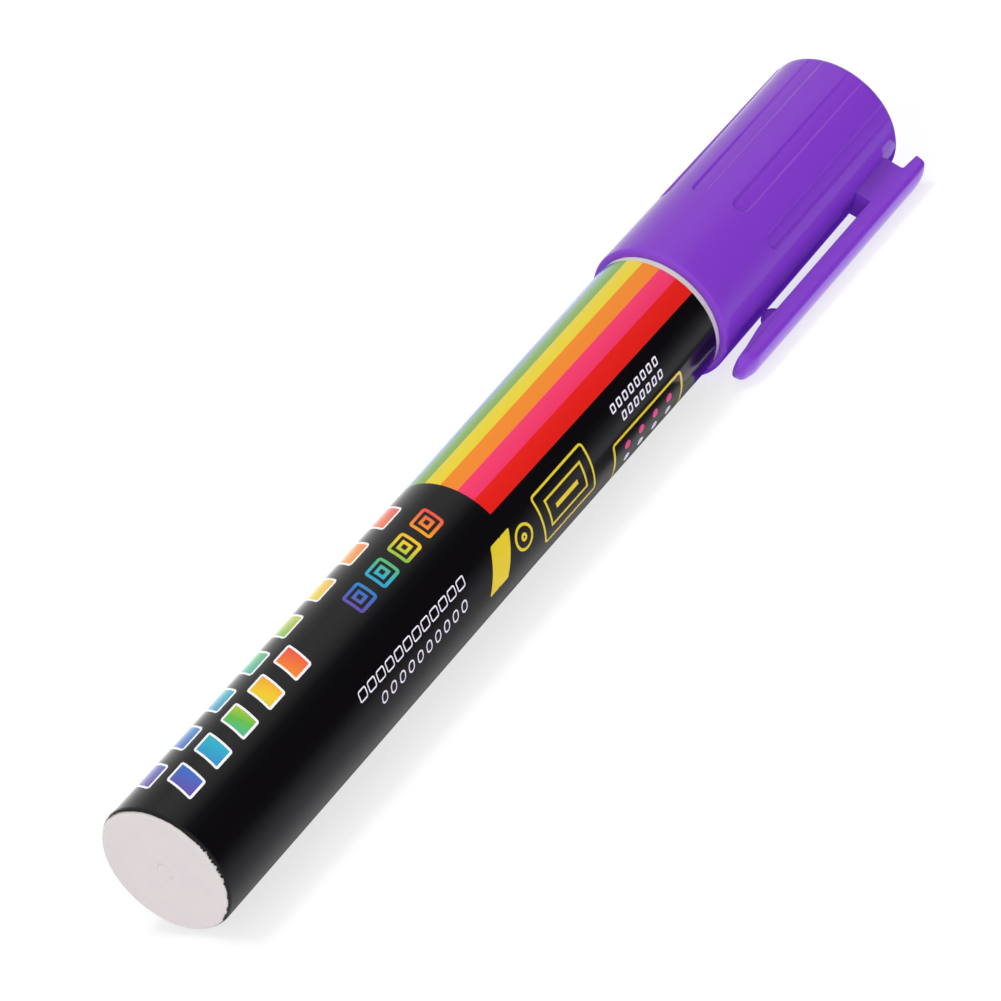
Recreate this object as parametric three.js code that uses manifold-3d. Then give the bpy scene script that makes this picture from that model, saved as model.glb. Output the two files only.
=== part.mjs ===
// A capped valve-action marking pen lying on a table.
// The pen lies along +X with its cap to +X, the table is at z = 0 and the pocket clip touches it.
// Units are millimetres. Stations are measured along the pen from its rear face.
import * as THREE from 'three';
import { mergeVertices } from 'three/addons/utils/BufferGeometryUtils.js';
import Module from 'manifold-3d';

const wasm = await Module();
wasm.setup();

// Barrel: a closed tube with a slight waist
const barrelLength = 98.2;
const barrelRearRadius = 8.05;
const barrelWaistRadius = 7.88;
const barrelWaistStation = 62;
const barrelMouthRadius = 7.98;
const barrelWall = 1.2;
const barrelFloor = 1.6;
const rearCornerRadius = 0.6;
const gateRecessRadius = 1.0;
const gateRecessDepth = 0.35;
const gateNubRadius = 0.5;
const gateNubHeight = 0.28;

// Printed film round the barrel
const filmThickness = 0.12;
const filmGap = 0.03;
const filmWrapAngle = 50;
const filmSetback = 0.05;

// Nozzle moulding
const flangeRadius = 8.02;
const flangeThickness = 0.8;
const plugLength = 14;
const sealBeadHeight = 0.05;
const sealBeadWidth = 0.8;
const sealBeadSetbacks = [3.5, 7];
const neckRadius = 7.0;
const neckLength = 7.2;
const neckBeadHeight = 0.12;
const neckBeadWidth = 0.9;
const neckBeadSetback = 4.2;
const shoulderLength = 3.2;
const nibTubeRootRadius = 4.9;
const nibTubeTipRadius = 4.1;
const nibTubeLength = 10.4;
const nibTubeTipRounding = 0.5;
const valveBayRadius = 5.35;
const feedBayRadius = 4.0;
const feedBayLength = 11.0;
const nibRibCount = 6;
const nibRibWidth = 0.45;
const nibRibHeight = 0.35;
const nibRibLength = 8.5;

// Nib
const nibRadius = 2.5;
const nibLength = 18.0;
const nibExposed = 6.0;
const nibTipRounding = 1.7;
const nibTailRadius = 1.9;
const nibTailLength = 1.2;

// Valve: seat, stem, spring and cage
const seatSkirtLength = 6.0;
const seatPlateThickness = 2.0;
const seatHoleRadius = 1.6;
const seatConeRadius = 2.7;
const seatConeDepth = 1.2;
const seatSkirtWall = 0.8;
const cageLength = 11.0;
const cageWall = 1.1;
const cageFloor = 1.2;
const cageInsertion = 2.6;
const cageWindowCount = 4;
const cageWindowWidth = 2.0;
const cageWindowLength = 4.6;
const stemHeadRadius = 2.9;
const stemHeadLength = 1.3;
const stemPinRadius = 1.1;
const stemTailRadius = 0.95;
const stemTailOvershoot = 0.4;
const springWireRadius = 0.25;
const springMeanRadius = 2.0;
const springCurls = 6;
const springStepsPerCurl = 8;
const springSides = 5;

// Mixing ball
const ballRadius = 2.4;
const ballStation = 12;

// Cap
const capLength = 38.95;
const capLipRadius = 8.85;
const capEndRadius = 8.55;
const capLipRounding = 0.42;
const capEndRounding = 0.75;
const capBoreRadius = 7.28;
const capBoreDraft = 0.25;
const capEndWall = 1.6;
const capSnapHeight = 0.1;
const capSnapWidth = 0.9;
const capSnapSetback = 3.0;
const capRibCount = 6;
const capRibWidth = 0.9;
const capRibLength = 24;
const pocketCount = 10;
const pocketWidth = 2.2;
const pocketDepth = 0.3;
const pocketEndDepth = 0.09;
const pocketLength = 27.2;
const pocketLean = -9;

// Sealing liner in the cap
const linerWall = 0.8;
const linerWebSetback = 4.2;
const linerWebThickness = 1.4;
const linerMouthFlare = 0.3;

// Pocket clip
const clipWidth = 3.85;
const clipOuterRadius = 12.72;
const clipCrown = 0.14;
const clipEdgeRounding = 0.7;
const clipBackset = 0.3;
const clipEndRounding = 0.75;
const clipHeelThickness = 1.74;
const clipRootThickness = 2.28;
const clipTipThickness = 2.0;
const clipBridgeTop = 3.1;
const clipBridgeLength = 6.8;
const clipBladeLength = 30.3;
const clipNoseEase = 0.06;
const clipKneeSetback = 24.2;
const clipKneeDrop = 0.26;
const clipPadSetback = 21.2;
const clipPadRadius = 1.35;
const clipPadGap = 0.3;
const clipPadSink = 0.5;
const clipFillet = 0.35;
const clipHingeSetback = 0.35;
const clipRootSink = 0.6;

// Clearances
const seatGap = 0.02;
const fitGap = 0.05;
const slideGap = 0.12;
const cutGap = 0.05;
const looseGap = 0.3;

// Facet counts round turned pieces
const coarseFacets = 32;
const fineFacets = 56;

// Stations and radii that follow from the sizes
const flangeFront = barrelLength + seatGap + flangeThickness;
const neckFront = flangeFront + neckLength;
const shoulderFront = neckFront + shoulderLength;
const nozzleFront = shoulderFront + nibTubeLength;
const plugRear = barrelLength - plugLength;
const boreRadius = nibRadius + slideGap / 2 + nibRibHeight;
const feedBayFront = nozzleFront - nibRibLength;
const feedBayRear = feedBayFront - feedBayLength;
const nibTip = nozzleFront + nibExposed;
const nibRear = nibTip - nibLength;
const seatFront = feedBayRear - seatGap;
const seatPlateRear = seatFront - seatPlateThickness;
const seatRear = seatFront - seatSkirtLength;
const seatRadius = valveBayRadius - fitGap;
const seatBore = seatRadius - seatSkirtWall;
const cageRadius = seatBore - fitGap;
const cageFront = seatRear + cageInsertion;
const cageRear = cageFront - cageLength;
const cageBore = cageRadius - cageWall;
const stemFront = nibRear - looseGap;
const stemConeFront = seatPlateRear + seatConeDepth - slideGap;
const stemHeadFront = seatPlateRear - slideGap;
const stemHeadRear = stemHeadFront - stemHeadLength;
const stemRear = cageRear - stemTailOvershoot;
const capRear = flangeFront + cutGap;
const capFront = capRear + capLength;
const capInnerEnd = capFront - capEndWall;
const linerRear = shoulderFront + looseGap;
const linerFront = capInnerEnd - seatGap;
const linerBore = nibTubeRootRadius + slideGap;
const linerRadius = linerBore + linerWall;
const clipHeel = capFront - clipBackset;
const clipBridgeFront = capFront - clipBridgeTop;
const clipBridgeRear = clipBridgeFront - clipBridgeLength;
const clipHinge = clipBridgeRear - clipHingeSetback;
const clipTip = clipBridgeRear - clipBladeLength;
const clipPadStation = clipBridgeRear - clipPadSetback;

const white = { color: 0xe6dfdd, roughness: 0.45, metalness: 0 };
const liner = { color: 0xf0eeea, roughness: 0.5, metalness: 0 };
const black = { color: 0x16151a, roughness: 0.22, metalness: 0 };
const purple = { color: 0x6f2fb8, roughness: 0.25, metalness: 0 };
const fibre = { color: 0xf2efe6, roughness: 0.95, metalness: 0 };
const steel = { color: 0xb8bcc0, roughness: 0.25, metalness: 1 };

const V2 = THREE.Vector2;

// Round a fillet: points of an arc from one angle to another, in degrees
function arc(cx, cr, radius, from, to, steps) {
  const points = [];
  for (let i = 0; i <= steps; i += 1) {
    const a = THREE.MathUtils.degToRad(from + ((to - from) * i) / steps);
    points.push([cx + radius * Math.cos(a), cr + radius * Math.sin(a)]);
  }
  return points;
}

// Turn a closed profile of [station, radius] points about the pen's axis
function turned(profile, facets) {
  const points = profile.map(([station, radius]) => new V2(radius, station));
  const first = points[0];
  const closesOnAxis = first.x === 0 && points[points.length - 1].x === 0;
  if (!closesOnAxis) points.push(first.clone());
  const geometry = new THREE.LatheGeometry(points, facets);
  geometry.rotateZ(-Math.PI / 2);
  return geometry;
}

// Make a solid of a closed geometry, so that it can be joined or cut
function solid(geometry) {
  const bare = geometry.clone();
  bare.deleteAttribute('normal');
  bare.deleteAttribute('uv');
  const merged = mergeVertices(bare, 1e-4);
  const index = Array.from(merged.index.array);
  const triangles = [];
  for (let i = 0; i < index.length; i += 3) {
    const [a, b, c] = [index[i], index[i + 1], index[i + 2]];
    if (a !== b && b !== c && c !== a) triangles.push(a, b, c);
  }
  const made = new wasm.Manifold(
    new wasm.Mesh({
      numProp: 3,
      vertProperties: new Float32Array(merged.attributes.position.array),
      triVerts: new Uint32Array(triangles),
    }),
  );
  return made;
}

function geometryOf(made) {
  const mesh = made.getMesh();
  const geometry = new THREE.BufferGeometry();
  geometry.setAttribute('position', new THREE.BufferAttribute(Float32Array.from(mesh.vertProperties), 3));
  geometry.setIndex(new THREE.BufferAttribute(Uint32Array.from(mesh.triVerts), 1));
  return geometry;
}

// Outer radius of the barrel at a station
function barrelRadiusAt(station) {
  if (station < barrelWaistStation) {
    const share = station / barrelWaistStation;
    return barrelRearRadius + (barrelWaistRadius - barrelRearRadius) * share;
  }
  const share = (station - barrelWaistStation) / (barrelLength - barrelWaistStation);
  return barrelWaistRadius + (barrelMouthRadius - barrelWaistRadius) * share;
}

// Radius of the barrel's bore at a station
function barrelBoreAt(station) {
  return barrelRadiusAt(station) - barrelWall;
}

// Outer radius of the cap at a station
function capRadiusAt(station) {
  return capLipRadius + ((capEndRadius - capLipRadius) * (station - capRear)) / capLength;
}

function barrel() {
  const corner = rearCornerRadius;
  const profile = [
    [gateRecessDepth - gateNubHeight, 0],
    [gateRecessDepth - gateNubHeight, gateNubRadius * 0.7],
    [gateRecessDepth, gateNubRadius],
    [gateRecessDepth, gateRecessRadius],
    [0, gateRecessRadius],
    ...arc(corner, barrelRearRadius - corner, corner, 180, 90, 4),
    [barrelWaistStation, barrelWaistRadius],
    [barrelLength, barrelMouthRadius],
    [barrelLength, barrelBoreAt(barrelLength)],
    [barrelWaistStation, barrelBoreAt(barrelWaistStation)],
    [barrelFloor + corner, barrelBoreAt(barrelFloor + corner)],
    [barrelFloor, barrelBoreAt(barrelFloor) - corner],
    [barrelFloor, 0],
  ];
  return turned(profile, fineFacets);
}

function printedSleeve() {
  const inner = filmGap;
  const outer = filmGap + filmThickness;
  const centre = barrelRearRadius - rearCornerRadius;
  const wrap = 90 + filmWrapAngle;
  const front = barrelLength - filmSetback;
  const mouth = barrelRadiusAt(front);
  const profile = [
    ...arc(rearCornerRadius, centre, rearCornerRadius + outer, wrap, 90, 4),
    [barrelWaistStation, barrelWaistRadius + outer],
    [front, mouth + outer],
    [front, mouth + inner],
    [barrelWaistStation, barrelWaistRadius + inner],
    ...arc(rearCornerRadius, centre, rearCornerRadius + inner, 90, wrap, 4),
  ];
  return turned(profile, fineFacets);
}

// Points of a low rounded bead on a turned face, from its low station to its high one
function bead(station, radius, height, width) {
  return [
    [station - width / 2, radius],
    [station - width / 6, radius + height],
    [station + width / 6, radius + height],
    [station + width / 2, radius],
  ];
}

function nozzle() {
  const plugRadiusAt = (station) => barrelBoreAt(station) - fitGap - sealBeadHeight;
  const tipRound = nibTubeTipRounding;
  const beads = [...sealBeadSetbacks]
    .map((setback) => barrelLength - setback)
    .sort((a, b) => a - b)
    .flatMap((at) => bead(at, plugRadiusAt(at), sealBeadHeight, sealBeadWidth));
  const profile = [
    [plugRear, plugRadiusAt(plugRear) - 0.3],
    [plugRear + 0.6, plugRadiusAt(plugRear + 0.6)],
    ...beads,
    [barrelLength + seatGap, plugRadiusAt(barrelLength)],
    [barrelLength + seatGap, flangeRadius],
    [flangeFront, flangeRadius],
    [flangeFront, neckRadius],
    ...bead(flangeFront + neckBeadSetback, neckRadius, neckBeadHeight, neckBeadWidth),
    [neckFront - 0.5, neckRadius],
    [neckFront, neckRadius - 0.5],
    [shoulderFront, nibTubeRootRadius],
    [nozzleFront - tipRound, nibTubeTipRadius],
    [nozzleFront, nibTubeTipRadius - tipRound],
    [nozzleFront, boreRadius + 0.2],
    [nozzleFront - 0.4, boreRadius],
    [feedBayFront, boreRadius],
    [feedBayFront - 0.6, feedBayRadius],
    [feedBayRear, feedBayRadius],
    [feedBayRear, valveBayRadius],
    [plugRear, valveBayRadius],
  ];
  const body = solid(turned(profile, fineFacets));
  const ribs = [];
  const depth = nibRibHeight + 0.4;
  const ribMiddle = nibRadius + slideGap / 2 + depth / 2;
  const ribLength = nibRibLength - 1.4;
  for (let i = 0; i < nibRibCount; i += 1) {
    const rib = new THREE.BoxGeometry(ribLength, nibRibWidth, depth);
    rib.translate(feedBayFront + 0.4 + ribLength / 2, 0, ribMiddle);
    rib.rotateX((i * 2 * Math.PI) / nibRibCount);
    ribs.push(solid(rib));
  }
  return geometryOf(ribs.reduce((whole, rib) => whole.add(rib), body));
}

function nib() {
  const round = nibTipRounding;
  const profile = [
    [nibRear, 0],
    [nibRear, nibTailRadius],
    [nibRear + nibTailLength, nibTailRadius],
    [nibRear + nibTailLength + 0.5, nibRadius],
    [nibTip - 2.6, nibRadius],
    ...arc(nibTip - round, 0, round, 62, 12, 4),
    [nibTip, 0],
  ];
  return turned(profile, coarseFacets);
}

function valveSeat() {
  const profile = [
    [seatFront, seatHoleRadius],
    [seatPlateRear + seatConeDepth, seatHoleRadius],
    [seatPlateRear, seatConeRadius],
    [seatPlateRear, seatBore],
    [seatRear, seatBore],
    [seatRear, seatRadius - 0.2],
    [seatRear + 0.4, seatRadius],
    [seatFront, seatRadius],
  ];
  return turned(profile, coarseFacets);
}

function springCage() {
  const guide = stemTailRadius + slideGap;
  const profile = [
    [cageRear, guide],
    [cageRear, cageRadius - 0.3],
    [cageRear + 0.3, cageRadius],
    [cageFront, cageRadius],
    [cageFront, cageBore],
    [cageRear + cageFloor, cageBore],
    [cageRear + cageFloor, guide],
  ];
  const body = solid(turned(profile, coarseFacets));
  const windows = [];
  for (let i = 0; i < cageWindowCount; i += 1) {
    const cut = new THREE.BoxGeometry(cageWindowLength, cageWindowWidth, cageWall * 3);
    cut.translate(cageRear + cageFloor + 0.6 + cageWindowLength / 2, 0, cageRadius - cageWall / 2);
    cut.rotateX(((i + 0.5) * 2 * Math.PI) / cageWindowCount);
    windows.push(solid(cut));
  }
  return geometryOf(windows.reduce((whole, cut) => whole.subtract(cut), body));
}

function valveStem() {
  const profile = [
    [stemRear, 0],
    [stemRear, stemTailRadius - 0.2],
    [stemRear + 0.3, stemTailRadius],
    [stemHeadRear, stemTailRadius],
    [stemHeadRear, stemHeadRadius],
    [stemHeadFront, stemHeadRadius],
    [stemHeadFront, seatConeRadius - slideGap],
    [stemConeFront, stemPinRadius + 0.25],
    [stemConeFront + 0.3, stemPinRadius],
    [stemFront - 0.4, stemPinRadius],
    [stemFront, stemPinRadius - 0.3],
    [stemFront, 0],
  ];
  return turned(profile, coarseFacets);
}

// The spring is one unbroken tube wound on a helix between the cage's floor and the stem's head
class Helix extends THREE.Curve {
  constructor(from, to, radius, curls) {
    super();
    Object.assign(this, { from, to, radius, curls });
  }

  getPoint(t, target = new THREE.Vector3()) {
    const a = t * this.curls * 2 * Math.PI;
    const x = this.from + (this.to - this.from) * t;
    return target.set(x, this.radius * Math.sin(a), this.radius * Math.cos(a));
  }
}

function valveSpring() {
  const from = cageRear + cageFloor + springWireRadius + cutGap;
  const to = stemHeadRear - springWireRadius - cutGap;
  const path = new Helix(from, to, springMeanRadius, springCurls);
  const section = new THREE.Shape();
  for (let i = 0; i < springSides; i += 1) {
    const a = (i * 2 * Math.PI) / springSides;
    const [x, y] = [springWireRadius * Math.cos(a), springWireRadius * Math.sin(a)];
    if (i === 0) section.moveTo(x, y);
    else section.lineTo(x, y);
  }
  const steps = springCurls * springStepsPerCurl;
  const wire = new THREE.ExtrudeGeometry(section, { steps, extrudePath: path, bevelEnabled: false });
  reportLeastGap(path, steps);
  return wire;
}

// Print the least gap between neighbouring curls, measured on points of the wire's centre line
function reportLeastGap(path, steps) {
  const points = path.getPoints(steps * 4);
  const turn = springStepsPerCurl * 4;
  let least = Infinity;
  for (let i = 0; i < points.length; i += 1) {
    for (let j = i + turn / 2; j < points.length; j += 1) {
      least = Math.min(least, points[i].distanceTo(points[j]));
    }
  }
  console.log(`least gap between curls of the spring: ${(least - 2 * springWireRadius).toFixed(2)} mm`);
}

function mixingBall() {
  const ball = new THREE.SphereGeometry(ballRadius, 24, 16);
  ball.translate(ballStation, 0, -(barrelBoreAt(ballStation) - looseGap - ballRadius));
  return ball;
}

// A long pocket with a rounded end, cut into the cap's side and fading out at the cap's closed end
function pocketCutter(index) {
  const half = pocketWidth / 2;
  const outline = new THREE.Shape();
  outline.moveTo(capFront + 1, -half);
  outline.lineTo(capFront + 1, half);
  outline.lineTo(capFront - pocketLength + half, half);
  outline.absarc(capFront - pocketLength + half, 0, half, Math.PI / 2, (3 * Math.PI) / 2, false);
  outline.closePath();
  const block = new THREE.ExtrudeGeometry(outline, { depth: 3, bevelEnabled: false, curveSegments: 6 });
  const roundEndFloor = capRadiusAt(capFront - pocketLength) - pocketDepth;
  const floor = capEndRadius - pocketEndDepth;
  block.translate(-capFront, 0, 0);
  block.rotateY(Math.atan((roundEndFloor - floor) / pocketLength));
  block.translate(capFront, 0, floor);
  const step = 360 / pocketCount;
  block.rotateX(clipTurn + THREE.MathUtils.degToRad(pocketLean + index * step));
  return solid(block);
}

function capBody() {
  const lip = capLipRounding;
  const end = capEndRounding;
  const boreEnd = capBoreRadius - capBoreDraft;
  const snap = capSnapHeight;
  const snapAt = capRear + capSnapSetback;
  const profile = [
    [capInnerEnd, 0],
    [capInnerEnd, boreEnd - 0.8],
    [capInnerEnd - 0.8, boreEnd],
    [neckFront, capBoreRadius],
    [snapAt + capSnapWidth / 2, capBoreRadius],
    [snapAt + capSnapWidth / 6, capBoreRadius - snap],
    [snapAt - capSnapWidth / 6, capBoreRadius - snap],
    [snapAt - capSnapWidth / 2, capBoreRadius],
    [capRear + 0.3, capBoreRadius],
    [capRear, capBoreRadius + 0.3],
    ...arc(capRear + lip, capLipRadius - lip, lip, 180, 90, 4),
    ...arc(capFront - end, capEndRadius - end, end, 90, 0, 5),
    [capFront, 0],
  ];
  return solid(turned(profile, fineFacets));
}

function capRibs() {
  const ribs = [];
  const outer = capBoreRadius + 0.3;
  const inner = linerRadius + fitGap;
  for (let i = 0; i < capRibCount; i += 1) {
    const rib = new THREE.BoxGeometry(capRibLength + 0.4, capRibWidth, outer - inner);
    rib.translate(capInnerEnd + 0.4 - (capRibLength + 0.4) / 2, 0, (outer + inner) / 2);
    rib.rotateX((i * 2 * Math.PI) / capRibCount);
    ribs.push(solid(rib));
  }
  return ribs;
}

// The clip's side outline, with its bridge to the cap
function clipOutline() {
  const top = clipOuterRadius;
  const heelInner = top - clipHeelThickness;
  const rootInner = top - clipRootThickness;
  const tipInner = top - clipTipThickness;
  const rootDepth = capRadiusAt(clipBridgeFront) - clipRootSink;
  const f = clipFillet;
  const outline = new THREE.Shape();
  outline.moveTo(clipHeel, heelInner);
  outline.lineTo(clipHeel, top - clipEndRounding);
  outline.quadraticCurveTo(clipHeel, top, clipHeel - clipEndRounding, top);
  outline.lineTo(clipTip + 1.4, top);
  outline.bezierCurveTo(clipTip + 0.5, top, clipTip, tipInner + 1.3, clipTip, tipInner + 0.4);
  outline.quadraticCurveTo(clipTip, tipInner, clipTip + 0.4, tipInner - 0.02);
  outline.lineTo(clipBridgeRear - clipKneeSetback, rootInner - clipKneeDrop);
  outline.lineTo(clipPadStation, rootInner);
  outline.lineTo(clipBridgeRear - f, rootInner);
  outline.quadraticCurveTo(clipBridgeRear, rootInner, clipBridgeRear, rootInner - f);
  outline.lineTo(clipBridgeRear, rootDepth);
  outline.lineTo(clipBridgeFront, rootDepth);
  outline.lineTo(clipBridgeFront, heelInner - 0.2 - f);
  outline.quadraticCurveTo(clipBridgeFront, heelInner - 0.2, clipBridgeFront + f, heelInner - 0.17);
  outline.closePath();
  return outline;
}

// The clip's cross-section: a crowned outer face with rounded edges
function clipSection() {
  const half = clipWidth / 2;
  const edge = clipOuterRadius - clipCrown;
  const round = clipEdgeRounding;
  const inside = capEndRadius - 3 * clipRootSink;
  const section = new THREE.Shape();
  section.moveTo(-half, inside);
  section.lineTo(half, inside);
  section.lineTo(half, edge - round);
  section.quadraticCurveTo(half, edge, half - round, edge + clipCrown * 0.4);
  section.quadraticCurveTo(0, clipOuterRadius + clipCrown * 0.6, -half + round, edge + clipCrown * 0.4);
  section.quadraticCurveTo(-half, edge, -half, edge - round);
  section.closePath();
  return section;
}

// The clip's plan: parallel sides, wide of the section, and a round nose at the free end
function clipPlan() {
  const nose = clipWidth / 2 + clipNoseEase;
  const plan = new THREE.Shape();
  plan.moveTo(clipHeel + 1, nose);
  plan.lineTo(clipTip + nose, nose);
  plan.absarc(clipTip + nose, 0, nose, Math.PI / 2, (3 * Math.PI) / 2, false);
  plan.lineTo(clipHeel + 1, -nose);
  plan.closePath();
  return plan;
}

// The domed pad that holds the clip's free end off the cap
function clipPad() {
  const tip = capRadiusAt(clipPadStation) + clipPadGap;
  const base = clipOuterRadius - clipRootThickness;
  const dome = [];
  for (let i = 0; i <= 6; i += 1) {
    const a = (i * Math.PI) / 12;
    dome.push(new V2(clipPadRadius * Math.sin(a), base + (tip - base) * Math.cos(a)));
  }
  dome.push(new V2(clipPadRadius, base + clipPadSink), new V2(0, base + clipPadSink));
  const pad = new THREE.LatheGeometry(dome, 20);
  pad.rotateX(Math.PI / 2);
  pad.translate(clipPadStation, 0, 0);
  return pad;
}

// The whole clip as one solid, turned to its place round the pen
function clipSolid() {
  const side = new THREE.ExtrudeGeometry(clipOutline(), {
    depth: clipWidth + 2,
    bevelEnabled: false,
    curveSegments: 5,
  });
  side.translate(0, 0, -(clipWidth + 2) / 2);
  side.rotateX(Math.PI / 2);
  const across = new THREE.ExtrudeGeometry(clipSection(), {
    depth: clipHeel - clipTip + 4,
    bevelEnabled: false,
    curveSegments: 5,
  });
  across.rotateX(Math.PI / 2);
  across.rotateZ(Math.PI / 2);
  across.translate(clipTip - 2, 0, 0);
  const plan = new THREE.ExtrudeGeometry(clipPlan(), {
    depth: clipOuterRadius + 1,
    bevelEnabled: false,
    curveSegments: 9,
  });
  const pad = clipPad();
  for (const form of [side, across, plan, pad]) form.rotateX(clipTurn);
  const blade = solid(side).intersect(solid(across)).intersect(solid(plan));
  return blade.add(solid(pad));
}

// How far the clip is turned about the pen's axis from straight up, for its edge and the cap's lip
// to touch the table together
function turnOntoTable() {
  const points = clipSection().getPoints(5);
  const reach = (lean) =>
    Math.max(...points.map((p) => p.y * Math.cos(lean) + Math.abs(p.x) * Math.sin(lean)));
  let low = 0;
  let high = Math.PI / 2;
  for (let i = 0; i < 40; i += 1) {
    const lean = (low + high) / 2;
    if (reach(lean) > capLipRadius) low = lean;
    else high = lean;
  }
  return Math.PI - high;
}

// A big block that covers the clip from one station to another
function stretch(from, to) {
  const block = new THREE.BoxGeometry(to - from, 30, 30);
  block.translate((from + to) / 2, 0, 0);
  return solid(block);
}

function capShell(clip) {
  let shell = capBody();
  for (let i = 0; i < pocketCount; i += 1) shell = shell.subtract(pocketCutter(i));
  for (const rib of capRibs()) shell = shell.add(rib);
  const bridge = clip.intersect(stretch(clipHinge + cutGap, capFront + 5));
  return geometryOf(shell.add(bridge));
}

function clipBlade(clip) {
  return geometryOf(clip.intersect(stretch(clipTip - 5, clipHinge)));
}

function innerCap() {
  const webRear = linerFront - linerWebSetback - linerWebThickness;
  const webFront = webRear + linerWebThickness;
  const profile = [
    [webRear, 0],
    [webRear, linerBore - 0.5],
    [webRear - 0.5, linerBore],
    [linerRear + 1, linerBore],
    [linerRear, linerBore + linerMouthFlare],
    [linerRear, linerRadius],
    [linerFront, linerRadius],
    [linerFront, linerBore],
    [webFront, linerBore],
    [webFront, 0],
  ];
  return turned(profile, fineFacets);
}

function named(name, geometry, look) {
  const mesh = new THREE.Mesh(geometry, new THREE.MeshStandardMaterial(look));
  mesh.name = name;
  return mesh;
}

const clipTurn = turnOntoTable();
const clip = clipSolid();
const pen = new THREE.Group();
pen.add(
  named('barrel', barrel(), white),
  named('printed_sleeve', printedSleeve(), black),
  named('nozzle', nozzle(), white),
  named('nib', nib(), fibre),
  named('valve_seat', valveSeat(), liner),
  named('valve_stem', valveStem(), liner),
  named('valve_spring', valveSpring(), steel),
  named('spring_cage', springCage(), liner),
  named('mixing_ball', mixingBall(), steel),
  named('cap_shell', capShell(clip), purple),
  named('clip_blade', clipBlade(clip), purple),
  named('inner_cap', innerCap(), liner),
);

// Lay the pen down: the lip touches the table, and the middle of its outline is at the origin
const outline = new THREE.Box3().setFromObject(pen);
const middle = outline.getCenter(new THREE.Vector3());
pen.position.set(-middle.x, -middle.y, -outline.min.z);

const model = new THREE.Group();
model.add(pen);
export default model;
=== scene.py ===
"""Dress of a capped marking pen: its fine pieces, their finishes and the studio round it.

Sizes are in millimetres along the pen, from its rear face, and out from its axis. A turn round
the pen is in degrees, from straight up and over towards -Y, the side that faces the camera. Every
piece ends in metres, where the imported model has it.
"""

from __future__ import annotations

import logging
import math
from dataclasses import dataclass, field
from enum import Enum
from itertools import pairwise
from typing import Any, Callable, Sequence

import bmesh
import bpy
from mathutils import Matrix, Vector

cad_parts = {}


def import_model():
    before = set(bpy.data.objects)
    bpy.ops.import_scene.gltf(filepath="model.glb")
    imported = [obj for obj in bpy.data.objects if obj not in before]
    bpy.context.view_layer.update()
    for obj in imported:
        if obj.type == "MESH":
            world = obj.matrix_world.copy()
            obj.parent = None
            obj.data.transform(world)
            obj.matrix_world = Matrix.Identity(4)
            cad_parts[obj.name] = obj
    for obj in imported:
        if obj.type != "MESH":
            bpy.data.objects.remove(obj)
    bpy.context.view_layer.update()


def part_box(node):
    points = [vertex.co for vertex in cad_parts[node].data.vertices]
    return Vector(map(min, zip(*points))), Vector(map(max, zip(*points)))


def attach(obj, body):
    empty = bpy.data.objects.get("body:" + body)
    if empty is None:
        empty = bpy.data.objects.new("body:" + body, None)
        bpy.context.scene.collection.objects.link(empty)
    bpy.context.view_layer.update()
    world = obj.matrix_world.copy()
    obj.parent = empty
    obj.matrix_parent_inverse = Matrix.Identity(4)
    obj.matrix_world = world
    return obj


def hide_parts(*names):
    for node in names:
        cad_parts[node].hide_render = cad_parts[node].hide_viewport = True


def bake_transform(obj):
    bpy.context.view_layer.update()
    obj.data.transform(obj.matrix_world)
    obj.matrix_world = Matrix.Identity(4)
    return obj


LOG = logging.getLogger("marking_pen")
MM = 0.001
# Turns round the pen of the clip and of the line that faces the camera, in degrees
CLIP_TURN = 126.853
FACING = 53.89


class Slot(Enum):
    """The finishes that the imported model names."""

    WHITE = "white_plastic"
    FILM = "printed_film"
    FIBRE = "nib_fibre"
    NATURAL = "natural_plastic"
    SPRING = "spring_steel"
    BALL = "ball_steel"
    PURPLE = "purple_plastic"


class Body(Enum):
    """The moving bodies that the pieces ride on."""

    PEN = "pen_body"
    NIB = "nib_body"
    STEM = "stem_body"
    BALL = "ball_body"
    CAP = "cap_body"
    CLIP = "clip_body"


@dataclass(frozen=True)
class Corner:
    """One corner of an outline: its station, its distance from the axis and its rounding."""

    station: float
    radius: float
    rounding: float = 0.0


@dataclass(frozen=True)
class PenLine:
    """Where the pen's rear face and its axis lie in the model, in metres."""

    rear: float
    side: float
    height: float

    @classmethod
    def of_barrel(cls) -> PenLine:
        """Read the line from the barrel, whose box is centred on the axis."""
        low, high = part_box("barrel")
        return cls(low.x, (low.y + high.y) / 2, (low.z + high.z) / 2)

    def at(self, station: float, radius: float = 0.0, turn: float = 0.0) -> Vector:
        """Place of a station, radius and turn in the model.

        Args:
            station: Distance from the rear face, in mm.
            radius: Distance from the axis, in mm.
            turn: Degrees from straight up towards -Y.

        Returns:
            The point in metres.
        """
        lean = math.radians(turn)
        return Vector(
            (
                self.rear + station * MM,
                self.side - radius * MM * math.sin(lean),
                self.height + radius * MM * math.cos(lean),
            )
        )

    def read(self, point: Vector) -> tuple[float, float, float]:
        """Station, radius and turn of a point of the model.

        Args:
            point: The point, in metres.

        Returns:
            Its station and radius in mm, and its turn in degrees.
        """
        y, z = point.y - self.side, point.z - self.height
        turn = math.degrees(math.atan2(-y, z))
        return (point.x - self.rear) / MM, math.hypot(y, z) / MM, turn


def hold(share: float) -> float:
    """Hold a share between 0 and 1."""
    return min(1.0, max(0.0, share))


def ease(share: float) -> float:
    """Hold a share between 0 and 1, with a soft start and end."""
    held = hold(share)
    return held * held * (3 - 2 * held)


def wrap(turn: float) -> float:
    """Bring a turn between -180 and 180 degrees."""
    return (turn + 180.0) % 360.0 - 180.0


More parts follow.
